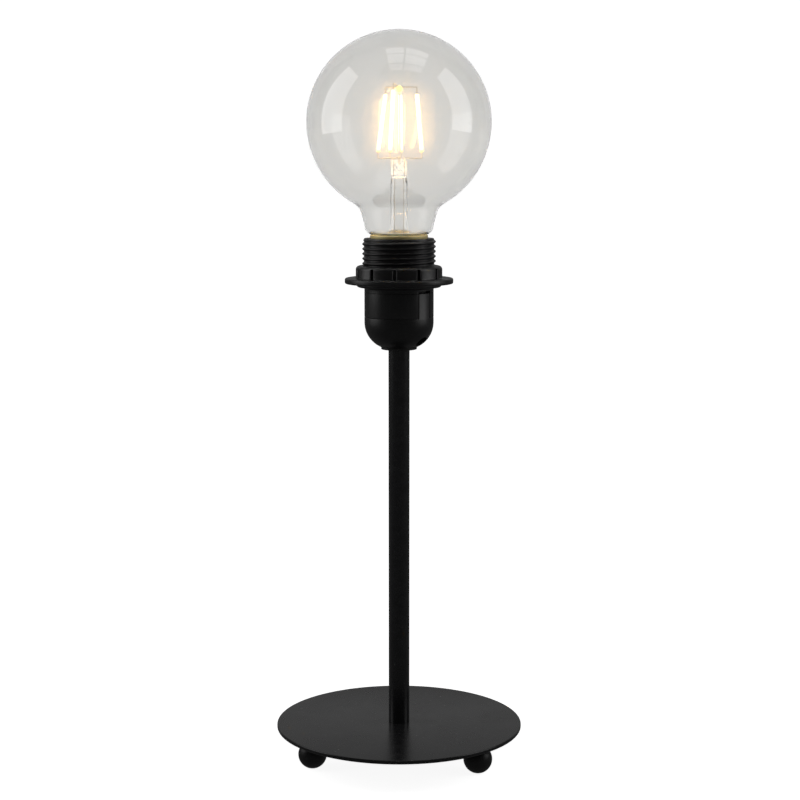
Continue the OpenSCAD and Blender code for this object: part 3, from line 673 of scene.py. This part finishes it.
def bent_wire(points, bend=1.0):
    """Round wire through a list of points, with rounded bends."""
    line = [points[0]]
    for a, b, c in zip(points, points[1:], points[2:]):
        reach = min(bend, (b - a).length * 0.45, (c - b).length * 0.45)
        line += [b + (a - b).normalized() * reach, b, b + (c - b).normalized() * reach]
    line.append(points[-1])
    data = bpy.data.curves.new("wire", "CURVE")
    data.dimensions = "3D"
    data.bevel_depth = WIRE_R
    data.bevel_resolution = 3
    data.use_fill_caps = True
    data.resolution_u = 5
    spline = data.splines.new("NURBS")
    spline.points.add(len(line) - 1)
    for place, point in zip(spline.points, line):
        place.co = (*point, 1)
    spline.order_u = 3
    spline.use_endpoint_u = True
    made = bpy.data.objects.new("wire", data)
    bpy.context.scene.collection.objects.link(made)
    bpy.context.view_layer.update()
    mesh = bpy.data.meshes.new_from_object(
        made.evaluated_get(bpy.context.evaluated_depsgraph_get()))
    shape = bmesh.new()
    shape.from_mesh(mesh)
    bpy.data.objects.remove(made)
    bpy.data.curves.remove(data)
    bpy.data.meshes.remove(mesh)
    return cleaned(shape)


def strip_ends(side):
    """Lower and upper end of a glowing strip."""
    turn = STRIP_TURNS[side]
    return (polar(turn, CAGE_LOW_R, CAGE_LOW_Z),
            polar(turn, CAGE_TOP_R[side], CAGE_TOP_Z + CAGE_RISE[side]))


def make_cage(wire, spider, glow):
    """Four strips and the wires that hold them below and above."""
    lower = []
    upper = []
    roots = {"left": (-LEAD_X, 0), "front": (0, -HELD_Y), "right": (LEAD_X, 0), "rear": (0, HELD_Y)}
    arm_z = PRESS_TOP_Z + 0.9
    for side, turn in STRIP_TURNS.items():
        low, high = strip_ends(side)
        start_z = BOARD_Z if side in ("left", "right") else PRESS_TOP_Z - 3
        lower.append(bent_wire([Vector((*roots[side], start_z)), Vector((*roots[side], arm_z)),
                                low - Vector((0, 0, PIN_LENGTH - 0.2)), low]))
        top = polar(turn, CAGE_TOP_R[side], SPIDER_Z + CAGE_RISE[side])
        upper.append(bent_wire([polar(turn, BEAD_R * 0.5, SPIDER_Z), top, high]))

        length = (high - low).length
        end = 0.7
        sunk = 0.3
        r = STRIP_END_R
        outline = [(0, end)]
        outline += arc(STRIP_R - r, end + r, r, -90, 0, 5)
        outline += arc(STRIP_R - r, length - end - r, r, 0, 90, 5)
        outline += [(0, length - end)]
        coat = spun(outline, 24, closed=False)
        ends = [spun([(0, a), (r, a), (r, b), (0, b)], 12, closed=False)
                for a, b in ((0, end + sunk), (length - end - sunk, length))]
        for cap in ends:
            for face in cap.faces:
                face.material_index = 1
        strip = joined(coat, *ends)
        strip.transform(between(low, high))
        piece(f"strip_{side}", strip, [glow, wire], "bulb", "strip_glow", f"filament_{side}")
    piece("stand_wires", joined(*lower), wire, "bulb", "wire_metal", "lower_wires")
    piece("spider_wires", joined(*upper), spider, "bulb", "wire_metal", "upper_wires")


def make_screw_cap(brass):
    """Thin rolled cap of the bulb, with its wound thread and flared rim."""
    root = CAP_THREAD_R - CAP_THREAD_DEEP
    high_z = CAP_THREAD_LOW_Z + CAP_TURNS * CAP_PITCH
    rows = 64
    outline = arc(CAP_RIM_R - 0.4, CAP_RIM_Z - 0.4, 0.4, 90, 0, 4)
    outline += [(CAP_RIM_R, CAP_RIM_Z - 0.9), (CAP_THREAD_R + 0.9, high_z + 2.2),
                (CAP_THREAD_R + 0.3, high_z + 1.4)]
    outline += [(root, high_z - (high_z - CAP_THREAD_LOW_Z) * k / rows) for k in range(rows + 1)]
    outline += [(root, CAP_THREAD_LOW_Z - 0.6), (root - 0.5, CAP_THREAD_LOW_Z - 1.1),
                (CAP_THREAD_R - 2.4, CAP_THREAD_LOW_Z - 1.5)]
    skin = swept(drawn(outline, False), math.tau, 128, merge=True)
    for vert in skin.verts:
        z = vert.co.z
        if CAP_THREAD_LOW_Z <= z <= high_z + 0.01:
            turn = math.atan2(vert.co.y, vert.co.x)
            wave = (1 - math.cos(math.tau * (z - CAP_THREAD_LOW_Z) / CAP_PITCH - turn)) / 2
            fade = min(1, (z - CAP_THREAD_LOW_Z) / 1.2, (high_z - z) / 1.2)
            vert.co.xy *= 1 + CAP_THREAD_DEEP * wave * max(0, fade) / root
    bmesh.ops.remove_doubles(skin, verts=skin.verts, dist=1e-4)
    bmesh.ops.recalc_face_normals(skin, faces=skin.faces)
    widest = max(skin.faces, key=lambda face: face.calc_center_median().xy.length)
    if widest.normal.xy.dot(widest.calc_center_median().xy) < 0:
        bmesh.ops.reverse_faces(skin, faces=skin.faces)
    bmesh.ops.solidify(skin, geom=skin.faces[:], thickness=CAP_SHEET)
    piece("rolled_cap", cleaned(skin), brass, "bulb", "cap_brass", "bulb_cap", sharp=50)


# ---- Finishes ----

def put(tree, socket, value):
    """Sets a socket, or links it when the value is another node's output."""
    if isinstance(value, bpy.types.NodeSocket):
        tree.links.new(value, socket)
    elif socket.type == "RGBA":
        socket.default_value = (*value[:3], 1)
    else:
        socket.default_value = value


def add(tree, kind, inputs=None, **options):
    """Adds a shader node with its options and inputs."""
    made = tree.nodes.new("ShaderNode" + kind)
    for name, value in options.items():
        setattr(made, name, value)
    for name, value in (inputs or {}).items():
        put(tree, made.inputs[name], value)
    return made


def maths(tree, operation, a, b=0.0):
    """Result of a sum of two values."""
    return add(tree, "Math", {0: a, 1: b}, operation=operation).outputs[0]


def plus(tree, a, b):
    return maths(tree, "ADD", a, b)


def times(tree, a, b):
    return maths(tree, "MULTIPLY", a, b)


def remap(tree, value, low, high, to_low=0.0, to_high=1.0):
    """A value moved from one range to another."""
    return add(tree, "MapRange", {"Value": value, "From Min": low, "From Max": high,
                                  "To Min": to_low, "To Max": to_high}).outputs["Result"]


def noise(tree, place, scale, detail=2.0, rough=0.5):
    """Value of a cloudy noise over a place."""
    return add(tree, "TexNoise", {"Vector": place, "Scale": scale, "Detail": detail,
                                  "Roughness": rough}).outputs[0]


def axis_of(tree, place, axis):
    """One part of a place or a normal."""
    return add(tree, "SeparateXYZ", {"Vector": place}).outputs[axis]


def blend(tree, share, a, b):
    """Colour between two colours."""
    mix = add(tree, "Mix", data_type="RGBA")
    put(tree, mix.inputs["Factor"], share)
    colours = [socket for socket in mix.inputs if socket.type == "RGBA"]
    put(tree, colours[0], a)
    put(tree, colours[1], b)
    return next(socket for socket in mix.outputs if socket.type == "RGBA")


def effect(name, inputs, outputs):
    """Empty node group with named inputs and outputs."""
    group = bpy.data.node_groups.new(name, "ShaderNodeTree")
    for label, kind, value in inputs:
        socket = group.interface.new_socket(label, in_out="INPUT", socket_type=kind)
        if value is not None:
            socket.default_value = value
    for label, kind in outputs:
        group.interface.new_socket(label, in_out="OUTPUT", socket_type=kind)
    return group, group.nodes.new("NodeGroupInput").outputs, group.nodes.new("NodeGroupOutput").inputs


VALUE = "NodeSocketFloat"
PLACE = "NodeSocketVector"


def make_grain_effect():
    """Fine grain of a coating or a moulding, with a broad, faint unevenness."""
    group, given, out = effect("surface_grain", [
        ("Place", PLACE, None), ("Scale", VALUE, 900.0), ("Unevenness", VALUE, 40.0)],
        [("Tone", VALUE), ("Height", VALUE), ("Patches", VALUE)])
    fine = noise(group, given["Place"], given["Scale"], 4.0, 0.6)
    cells = add(group, "TexVoronoi", {"Vector": given["Place"], "Scale": given["Scale"]},
                feature="SMOOTH_F1")
    broad = noise(group, given["Place"], given["Unevenness"], 3.0, 0.55)
    put(group, out["Tone"], remap(group, fine, 0.3, 0.7))
    put(group, out["Height"], plus(group, times(group, fine, 0.6),
                                   times(group, cells.outputs["Distance"], 0.5)))
    put(group, out["Patches"], remap(group, broad, 0.35, 0.65))
    return group


def make_wear_and_edge_light_effect():
    """Mask of sharp edges, broken up by noise: rubbed edges, and where a finish lightens them
    strongly, also a painted highlight.
    """
    group, given, out = effect("edge_wear_and_edge_light", [
        ("Place", PLACE, None), ("Scale", VALUE, 200.0), ("Reach", VALUE, 0.06)],
        [("Mask", VALUE)])
    edge = add(group, "NewGeometry").outputs["Pointiness"]
    raised = remap(group, edge, 0.5, plus(group, given["Reach"], 0.5))
    broken = remap(group, noise(group, given["Place"], given["Scale"], 5.0, 0.7), 0.35, 0.65)
    put(group, out["Mask"], times(group, raised, broken))
    return group


def make_dust_effect():
    """Mask of thin dust on faces that look up."""
    group, given, out = effect("settled_dust", [
        ("Place", PLACE, None), ("Scale", VALUE, 300.0)], [("Mask", VALUE)])
    normal = add(group, "NewGeometry").outputs["Normal"]
    upward = remap(group, axis_of(group, normal, "Z"), 0.4, 1.0)
    cloud = noise(group, given["Place"], given["Scale"], 8.0, 0.75)
    specks = add(group, "TexVoronoi", {"Vector": given["Place"],
                                       "Scale": times(group, given["Scale"], 2.5)})
    points = remap(group, specks.outputs["Distance"], 0.14, 0.06)
    amount = plus(group, remap(group, cloud, 0.45, 0.8, 0.0, 0.6), times(group, points, 0.5))
    put(group, out["Mask"], times(group, upward, amount))
    return group


def make_turned_effect():
    """Fine lines round the lamp's axis, as rolling and turning leave them."""
    group, given, out = effect("turned_lines", [
        ("Place", PLACE, None), ("Scale", VALUE, 1500.0)], [("Tone", VALUE), ("Height", VALUE)])
    split = add(group, "SeparateXYZ", {"Vector": given["Place"]})
    squares = [times(group, split.outputs[axis], split.outputs[axis])
               for axis in ("X", "Y")]
    radius = maths(group, "SQRT", plus(group, *squares))
    spread = add(group, "CombineXYZ", {"X": radius, "Y": split.outputs["Z"],
                                       "Z": times(group, split.outputs["X"], 0.02)})
    lines = noise(group, spread.outputs[0], given["Scale"], 3.0, 0.6)
    put(group, out["Tone"], remap(group, lines, 0.3, 0.7))
    put(group, out["Height"], lines)
    return group


GRAIN = make_grain_effect()
WEAR_AND_EDGE_LIGHT = make_wear_and_edge_light_effect()
DUST = make_dust_effect()
TURNED = make_turned_effect()


def new_material(name):
    """Empty material, its tree and the place on the piece."""
    material = bpy.data.materials.new(name)
    material.use_nodes = True
    tree = material.node_tree
    tree.nodes.clear()
    return material, tree, add(tree, "TexCoord").outputs["Object"]


def finish_tree(name):
    """New material, its tree, its main shader, the place on the piece and its output."""
    material, tree, place = new_material(name)
    shader = add(tree, "BsdfPrincipled")
    out = add(tree, "OutputMaterial", {"Surface": shader.outputs[0]})
    return material, tree, shader, place, out


def use(tree, group, inputs):
    """Places an effect in a material and gives its outputs."""
    made = tree.nodes.new("ShaderNodeGroup")
    made.node_tree = group
    for name, value in inputs.items():
        put(tree, made.inputs[name], value)
    return made.outputs


def bump(tree, height, distance, strength=1.0):
    """Normal that a height gives, by its depth in metres."""
    return add(tree, "Bump", {"Height": height, "Distance": distance,
                              "Strength": strength}).outputs["Normal"]


def coated(name, dark, light, rough, grain_scale, grain_depth, dust=0.15, wear_and_edge_light=0.2,
           dust_colour=(0.16, 0.155, 0.15), wear_and_edge_light_colour=(0.09, 0.09, 0.092), coat=0.0):
    """Opaque coating or moulding: grain, uneven sheen, lighter rubbed edges and a little dust.
    Where the edges are set much lighter, as on the screw ring, they are partly a painted highlight.
    """
    material, tree, shader, place, _ = finish_tree(name)
    grain = use(tree, GRAIN, {"Place": place, "Scale": grain_scale, "Unevenness": 35.0})
    worn_and_lit_edges = use(tree, WEAR_AND_EDGE_LIGHT, {"Place": place})["Mask"]
    dusty = use(tree, DUST, {"Place": place})["Mask"]
    colour = blend(tree, grain["Tone"], dark, light)
    colour = blend(tree, times(tree, worn_and_lit_edges, wear_and_edge_light), colour, wear_and_edge_light_colour)
    colour = blend(tree, times(tree, dusty, dust), colour, dust_colour)
    sheen = plus(tree, remap(tree, grain["Patches"], 0, 1, *rough), times(tree, dusty, dust))
    put(tree, shader.inputs["Base Color"], colour)
    put(tree, shader.inputs["Roughness"], sheen)
    put(tree, shader.inputs["Normal"], bump(tree, grain["Height"], grain_depth))
    shader.inputs["Coat Weight"].default_value = coat
    return material


def metal(name, bright, dull, rough, lines=1500.0, depth=4e-6, bare=1.0):
    """Bare metal with turned lines, duller in patches. Less bare, it is hazed over."""
    material, tree, shader, place, _ = finish_tree(name)
    turned = use(tree, TURNED, {"Place": place, "Scale": lines})
    grain = use(tree, GRAIN, {"Place": place, "Scale": 500.0, "Unevenness": 90.0})
    colour = blend(tree, grain["Patches"], bright, dull)
    colour = blend(tree, times(tree, turned["Tone"], 0.25), colour, dull)
    sheen = plus(tree, remap(tree, grain["Patches"], 0, 1, *rough), times(tree, turned["Tone"], 0.06))
    put(tree, shader.inputs["Base Color"], colour)
    put(tree, shader.inputs["Roughness"], sheen)
    put(tree, shader.inputs["Normal"], bump(tree, turned["Height"], depth))
    shader.inputs["Metallic"].default_value = bare
    return material


def clear_glass(name, tint, ior, wave, hazy=0.0, painted_glow=False):
    """Clear glass with the faint waves of blown glass. Lamps shine through it. A hazy one
    spreads a little of the light. On the mount, the strips' light on the bead and press is painted in
    as a glow:
    painted glints on the press, a painted bright rim at grazing angles, and a yellow tint with a
    painted glow on the bead."""
    material, tree, shader, place, out = finish_tree(name)
    haze = noise(tree, place, 60.0, 3.0)
    put(tree, shader.inputs["Base Color"],
        blend(tree, remap(tree, haze, 0.3, 0.7), tint, tuple(min(1, part + 0.01) for part in tint)))
    shader.inputs["Roughness"].default_value = 0.0
    if wave:
        put(tree, shader.inputs["Normal"], bump(tree, noise(tree, place, 420.0), wave))
    if painted_glow:
        # Painted glow: emission on the bead and press and a bright rim at grazing angles stand for
        # the strips' light that this glass catches.
        height = axis_of(tree, place, "Z")
        bead = maths(tree, "GREATER_THAN", height, (BEAD_Z - BEAD_R) * MM)
        press = times(tree, maths(tree, "GREATER_THAN", height, PRESS_Z * MM),
                      maths(tree, "LESS_THAN", height, PRESS_TOP_Z * MM))
        cells = add(tree, "TexVoronoi", {"Vector": place, "Scale": 1000.0}).outputs["Distance"]
        painted_glints = times(tree, press, remap(tree, cells, 0.35, 0.7, 0.0, 0.5))
        facing = add(tree, "LayerWeight", {"Blend": 0.5}).outputs["Facing"]
        edge = remap(tree, facing, 0.6, 1.0, 0.0, 0.22)
        tint = blend(tree, bead, tint, (1.0, 0.92, 0.42))
        put(tree, shader.inputs["Base Color"], tint)
        warm = maths(tree, "MAXIMUM", press, bead)
        colour = blend(tree, warm, (1.0, 0.97, 0.94), (1.0, 0.74, 0.46))
        put(tree, shader.inputs["Emission Color"], blend(tree, bead, colour, (1.0, 0.8, 0.16)))
        put(tree, shader.inputs["Emission Strength"],
            maths(tree, "MAXIMUM", times(tree, bead, 0.7), maths(tree, "MAXIMUM", painted_glints, edge)))
    shader.inputs["IOR"].default_value = ior
    shader.inputs["Transmission Weight"].default_value = 1.0
    shader.inputs["Metallic"].default_value = 0.0
    through = add(tree, "BsdfTransparent", {"Color": tint})
    shadow = add(tree, "LightPath").outputs["Is Shadow Ray"]
    clear = shader.outputs[0]
    if hazy:
        spread = add(tree, "BsdfRefraction", {"Color": tint, "Roughness": 0.5, "IOR": ior})
        share = remap(tree, haze, 0.3, 0.7, hazy * 0.8, hazy * 1.2)
        clear = add(tree, "MixShader", {0: share, 1: clear, 2: spread.outputs[0]}).outputs[0]
    mix = add(tree, "MixShader", {0: shadow, 1: clear, 2: through.outputs[0]})
    put(tree, out.inputs["Surface"], mix.outputs[0])
    return material


def glowing(name):
    """Lit coating of a strip: white, and yellow towards its rim and its lower end."""
    material, tree, shader, place, _ = finish_tree(name)
    height = axis_of(tree, place, "Z")
    end = remap(tree, height, (CAGE_LOW_Z + 3.4) * MM, (CAGE_LOW_Z + 0.8) * MM)
    facing = add(tree, "LayerWeight", {"Blend": 0.35}).outputs["Facing"]
    rim = remap(tree, facing, 0.35, 1.0, 0.0, 0.85)
    dots = noise(tree, place, 700.0)
    hot = blend(tree, remap(tree, dots, 0.3, 0.7, 0.0, 0.3), (1.0, 0.93, 0.76), (1.0, 0.86, 0.6))
    colour = blend(tree, rim, hot, (1.0, 0.62, 0.2))
    colour = blend(tree, end, colour, (1.0, 0.5, 0.06))
    put(tree, shader.inputs["Base Color"], (0.9, 0.72, 0.3))
    put(tree, shader.inputs["Roughness"], remap(tree, dots, 0.3, 0.7, 0.4, 0.6))
    put(tree, shader.inputs["Normal"], bump(tree, dots, 2e-5))
    path = add(tree, "LightPath").outputs
    unbent = times(tree, maths(tree, "LESS_THAN", path["Glossy Depth"], 0.5),
                   times(tree, path["Is Transmission Ray"], path["Is Singular Ray"]))
    direct = maths(tree, "MAXIMUM", path["Is Camera Ray"], unbent)
    in_glass = remap(tree, path["Glossy Depth"], 0.0, 1.0, STRIP_GLOW, STRIP_MIRRORED)
    passed = maths(tree, "GREATER_THAN", path["Transmission Depth"], 0.5)
    other = remap(tree, passed, 0.0, 1.0, STRIP_THROWN, in_glass)
    put(tree, shader.inputs["Emission Color"], blend(tree, direct, (1.0, 0.61, 0.2), colour))
    put(tree, shader.inputs["Emission Strength"], remap(tree, direct, 0.0, 1.0, other, STRIP_SEEN))
    return material


# Strength of a strip seen directly, spread by the globe's haze, mirrored in the globe's
# wall, and thrown on the rest of the lamp
STRIP_SEEN = 2.4
STRIP_GLOW = 62.0
STRIP_MIRRORED = 45.0
STRIP_THROWN = 7.0


# ---- Surroundings ----

CAMERA_PLACE = (0.0005, -0.935, 0.3184)
CAMERA_DOWN = 7.72
CAMERA_LENS = 81.3
LAMP_AWAY = 0.9
SIDE_LIGHT = 1.5
TOP_LIGHT = 1.3
AMBIENT = 0.055
THROUGH_GLASS = 0.69
BENT_GLASS = 0.76
IN_GLOSS = 0.28
IN_GLOSS_LOW = 0.085
GLOSS_HEIGHTS = (0.35, 0.75)
IN_MIRROR = 0.85
AROUND_MIRROR = 0.6
SHADOW_REACH = (0.12, 0.55)
SHADOW_GLOW = 0.92


def make_camera():
    data = bpy.data.cameras.new("camera")
    data.lens = CAMERA_LENS
    data.sensor_width = 36
    made = bpy.data.objects.new("camera", data)
    made.location = CAMERA_PLACE
    made.rotation_euler = (math.radians(90 - CAMERA_DOWN), 0, 0)
    bpy.context.scene.collection.objects.link(made)
    bpy.context.scene.camera = made


def panel(name, middle, facing, width, height, brightness):
    """Soft lamp panel of one brightness, with its middle in globe widths from the globe."""
    data = bpy.data.lights.new(name, "AREA")
    data.shape = "RECTANGLE"
    data.size = width * LAMP_AWAY
    data.size_y = height * LAMP_AWAY
    data.energy = brightness * math.pi * data.size * data.size_y
    made = bpy.data.objects.new(name, data)
    made.location = Vector(middle) * LAMP_AWAY + Vector((0, 0, GLOBE_Z * MM))
    made.rotation_euler = Vector(facing).to_track_quat("-Z", "Y").to_euler()
    made.visible_camera = False
    bpy.context.scene.collection.objects.link(made)
    return made


def make_lamps():
    """Tall soft panels left and right, and six panels above with dark seams."""
    panel("panel_left", (-1, 0.016, 0.49), (1, 0, 0), 0.653, 1.285, SIDE_LIGHT)
    panel("panel_right", (1, -0.121, 0.53), (-1, 0, 0), 0.598, 1.34, SIDE_LIGHT)
    for x0, x1 in ((-0.178, 0.067), (0.098, 0.44)):
        for y0, y1, share in ((-0.47, -0.29, 0.75), (-0.255, 0.0, 1.0), (0.03, 0.207, 0.9)):
            panel("panel_top", ((x0 + x1) / 2, (y0 + y1) / 2, 1), (0, 0, -1),
                  x1 - x0, y1 - y0, TOP_LIGHT * share)


def white_surround(tree, gloss, mirror):
    """Strength by kind of ray: pale through clear glass, with its own value for light that
    a glass wall threw back on its way, and dim in gloss."""
    path = add(tree, "LightPath").outputs
    unbent = maths(tree, "LESS_THAN", path["Glossy Depth"], 0.5)
    clear = remap(tree, unbent, 0.0, 1.0, BENT_GLASS, THROUGH_GLASS)
    through = times(tree, path["Is Transmission Ray"], clear)
    back = times(tree, path["Is Glossy Ray"],
                 maths(tree, "SUBTRACT", 1.0, path["Is Transmission Ray"]))
    shine = remap(tree, path["Is Singular Ray"], 0.0, 1.0, gloss, mirror)
    return path, plus(tree, through, times(tree, back, shine))


def make_world():
    world = bpy.data.worlds.new("room")
    world.use_nodes = True
    tree = world.node_tree
    tree.nodes.clear()
    path, strength = white_surround(tree, AMBIENT, AROUND_MIRROR)
    strength = plus(tree, strength, times(tree, path["Is Diffuse Ray"], AMBIENT))
    strength = maths(tree, "MAXIMUM", strength, path["Is Camera Ray"])
    room = add(tree, "Background", {"Color": (1, 1, 1), "Strength": strength})
    add(tree, "OutputWorld", {"Surface": room.outputs[0]})
    bpy.context.scene.world = world


def surround_finish(name, floor):
    """Pale paper: lit by the lamps, with the white that the camera sees added. On the
    floor a little less is added near the lamp, so that its shadow stays, and the backdrop
    is dark in gloss up to the lamp's height."""
    material, tree, place = new_material(name)
    near = 1.0
    gloss = IN_GLOSS_LOW
    if floor:
        away = add(tree, "VectorMath", {0: place}, operation="LENGTH").outputs["Value"]
        near = remap(tree, away, *SHADOW_REACH, SHADOW_GLOW, 1.0)
    else:
        height = axis_of(tree, place, "Z")
        gloss = remap(tree, height, *GLOSS_HEIGHTS, IN_GLOSS_LOW, IN_GLOSS)
    path, strength = white_surround(tree, gloss, IN_MIRROR)
    seen = times(tree, path["Is Camera Ray"], near)
    glow = add(tree, "Emission", {"Color": (1, 1, 1), "Strength": plus(tree, strength, seen)})
    direct = maths(tree, "MAXIMUM", path["Is Camera Ray"], path["Is Diffuse Ray"])
    paper = add(tree, "BsdfDiffuse", {"Color": (0.8, 0.8, 0.8)})
    nothing = add(tree, "BsdfDiffuse", {"Color": (0, 0, 0)})
    lit = add(tree, "MixShader", {0: direct, 1: nothing.outputs[0], 2: paper.outputs[0]})
    both = add(tree, "AddShader", {0: glow.outputs[0], 1: lit.outputs[0]})
    add(tree, "OutputMaterial", {"Surface": both.outputs[0]})
    return material


def make_room():
    """Floor under the lamp and a backdrop far behind it."""
    floor = bmesh.new()
    bmesh.ops.create_grid(floor, x_segments=1, y_segments=1, size=6)
    back = bmesh.new()
    bmesh.ops.create_grid(back, x_segments=1, y_segments=1, size=3)
    back.transform(Matrix.Translation((0, 3, 3)) @ Matrix.Rotation(math.radians(90), 4, "X"))
    paper = surround_finish("paper_floor", True)
    white = surround_finish("paper_back", False)
    for name, shape, finish in (("floor", floor, paper), ("backdrop", back, white)):
        made = loose(shape, name)
        made.data.materials.append(finish)


# ---- The lamp ----

make_camera()
make_lamps()
make_world()
make_room()

coat = coated("black_powder_coat", (0.005, 0.005, 0.0057), (0.010, 0.010, 0.011), (0.20, 0.25),
              1400.0, 8e-6, wear_and_edge_light=0.1)
moulding = coated("black_moulding", (0.005, 0.005, 0.0053), (0.0085, 0.0085, 0.009), (0.32, 0.40),
                  2200.0, 4e-6, wear_and_edge_light=0.15)
# On the screw ring the sharp edges are made much lighter: partly rubbed edges, partly a painted
# highlight along the hub and flange edges.
ring_moulding_wear_and_highlight = coated("ring_moulding_wear_and_highlight", (0.005, 0.005, 0.0053), (0.0085, 0.0085, 0.009), (0.32, 0.40),
                       2200.0, 4e-6, wear_and_edge_light=0.5, wear_and_edge_light_colour=(0.045, 0.045, 0.047))
# Near-black finish for the inner faces of the latch windows: painted shade, darker than the moulding
# itself.
painted_recess_shade = coated("moulding_painted_recess_shade", (0.001, 0.001, 0.001), (0.002, 0.002, 0.002), (0.6, 0.7),
                2200.0, 4e-6, dust=0.0, wear_and_edge_light=0.0)
# Pale finish for the lips of the ring's slots: a painted highlight.
slot_lips_painted_highlight = coated("slot_lips_painted_highlight", (0.11, 0.11, 0.114), (0.15, 0.15, 0.155), (0.4, 0.5),
                    2200.0, 4e-6, wear_and_edge_light=0.3)
ball = coated("foot_moulding", (0.006, 0.006, 0.006), (0.010, 0.010, 0.010), (0.36, 0.44),
              1800.0, 3e-6, wear_and_edge_light=0.1)
soft_plastic = coated("bushing_moulding", (0.02, 0.02, 0.021), (0.032, 0.032, 0.033), (0.45, 0.55),
                      1500.0, 8e-6)
ceramic = coated("white_ceramic", (0.78, 0.75, 0.69), (0.85, 0.82, 0.76), (0.5, 0.65),
                 1300.0, 1.5e-5, wear_and_edge_light_colour=(0.6, 0.57, 0.5), dust_colour=(0.6, 0.58, 0.55))
sleeve = coated("capacitor_sleeve", (0.015, 0.025, 0.05), (0.022, 0.034, 0.066), (0.25, 0.35),
                900.0, 4e-6)
board = coated("board_lacquer", (0.02, 0.12, 0.05), (0.035, 0.19, 0.085), (0.3, 0.4),
               1100.0, 6e-6)
insulator = coated("black_insulator", (0.010, 0.010, 0.011), (0.016, 0.016, 0.018), (0.08, 0.16),
                   600.0, 3e-6, coat=0.3)
zinc = metal("zinc_plate", (0.66, 0.67, 0.68), (0.5, 0.51, 0.53), (0.25, 0.38))
brass = metal("stamped_brass", (0.83, 0.62, 0.3), (0.68, 0.48, 0.21), (0.22, 0.36))
gold = metal("rolled_cap_brass", (1.0, 0.86, 0.46), (0.95, 0.78, 0.38), (0.42, 0.52), bare=0.35)
wire = metal("support_wire", (0.66, 0.56, 0.46), (0.45, 0.39, 0.33), (0.28, 0.4))
spider_wire = metal("spider_wire", (0.34, 0.29, 0.24), (0.24, 0.2, 0.17), (0.3, 0.42))
button = metal("tinned_button", (0.66, 0.66, 0.65), (0.5, 0.5, 0.49), (0.25, 0.4))
globe_glass = clear_glass("blown_glass", (0.963, 0.961, 0.947), 1.47, 0.0, hazy=0.09)
mount_glass = clear_glass("pressed_glass", (0.985, 0.985, 0.98), 1.5, 1.2e-4, painted_glow=True)
glow = glowing("lit_strip")

make_base(coat, ball, zinc, soft_plastic)
make_stem(coat)
make_cap(moulding)
make_skirt(moulding, painted_recess_shade)
make_ring(ring_moulding_wear_and_highlight, slot_lips_painted_highlight)
make_glass(globe_glass)
make_mount(mount_glass)
make_cage(wire, spider_wire, glow)
make_screw_cap(gold)

CARRIED = {
    "base_nut": zinc, "grub_screw": zinc, "terminal_screws": zinc,
    "contact_block": ceramic, "screw_shell": brass, "centre_contact": brass,
    "terminals": brass, "contact_rivets": brass, "cap_insulator": insulator,
    "contact_button": button, "driver_board": board, "driver_capacitor": sleeve,
}
for name, finish in CARRIED.items():
    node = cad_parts[name]
    node.data.materials.clear()
    node.data.materials.append(finish)

scene = bpy.context.scene
scene.view_settings.view_transform = "Standard"
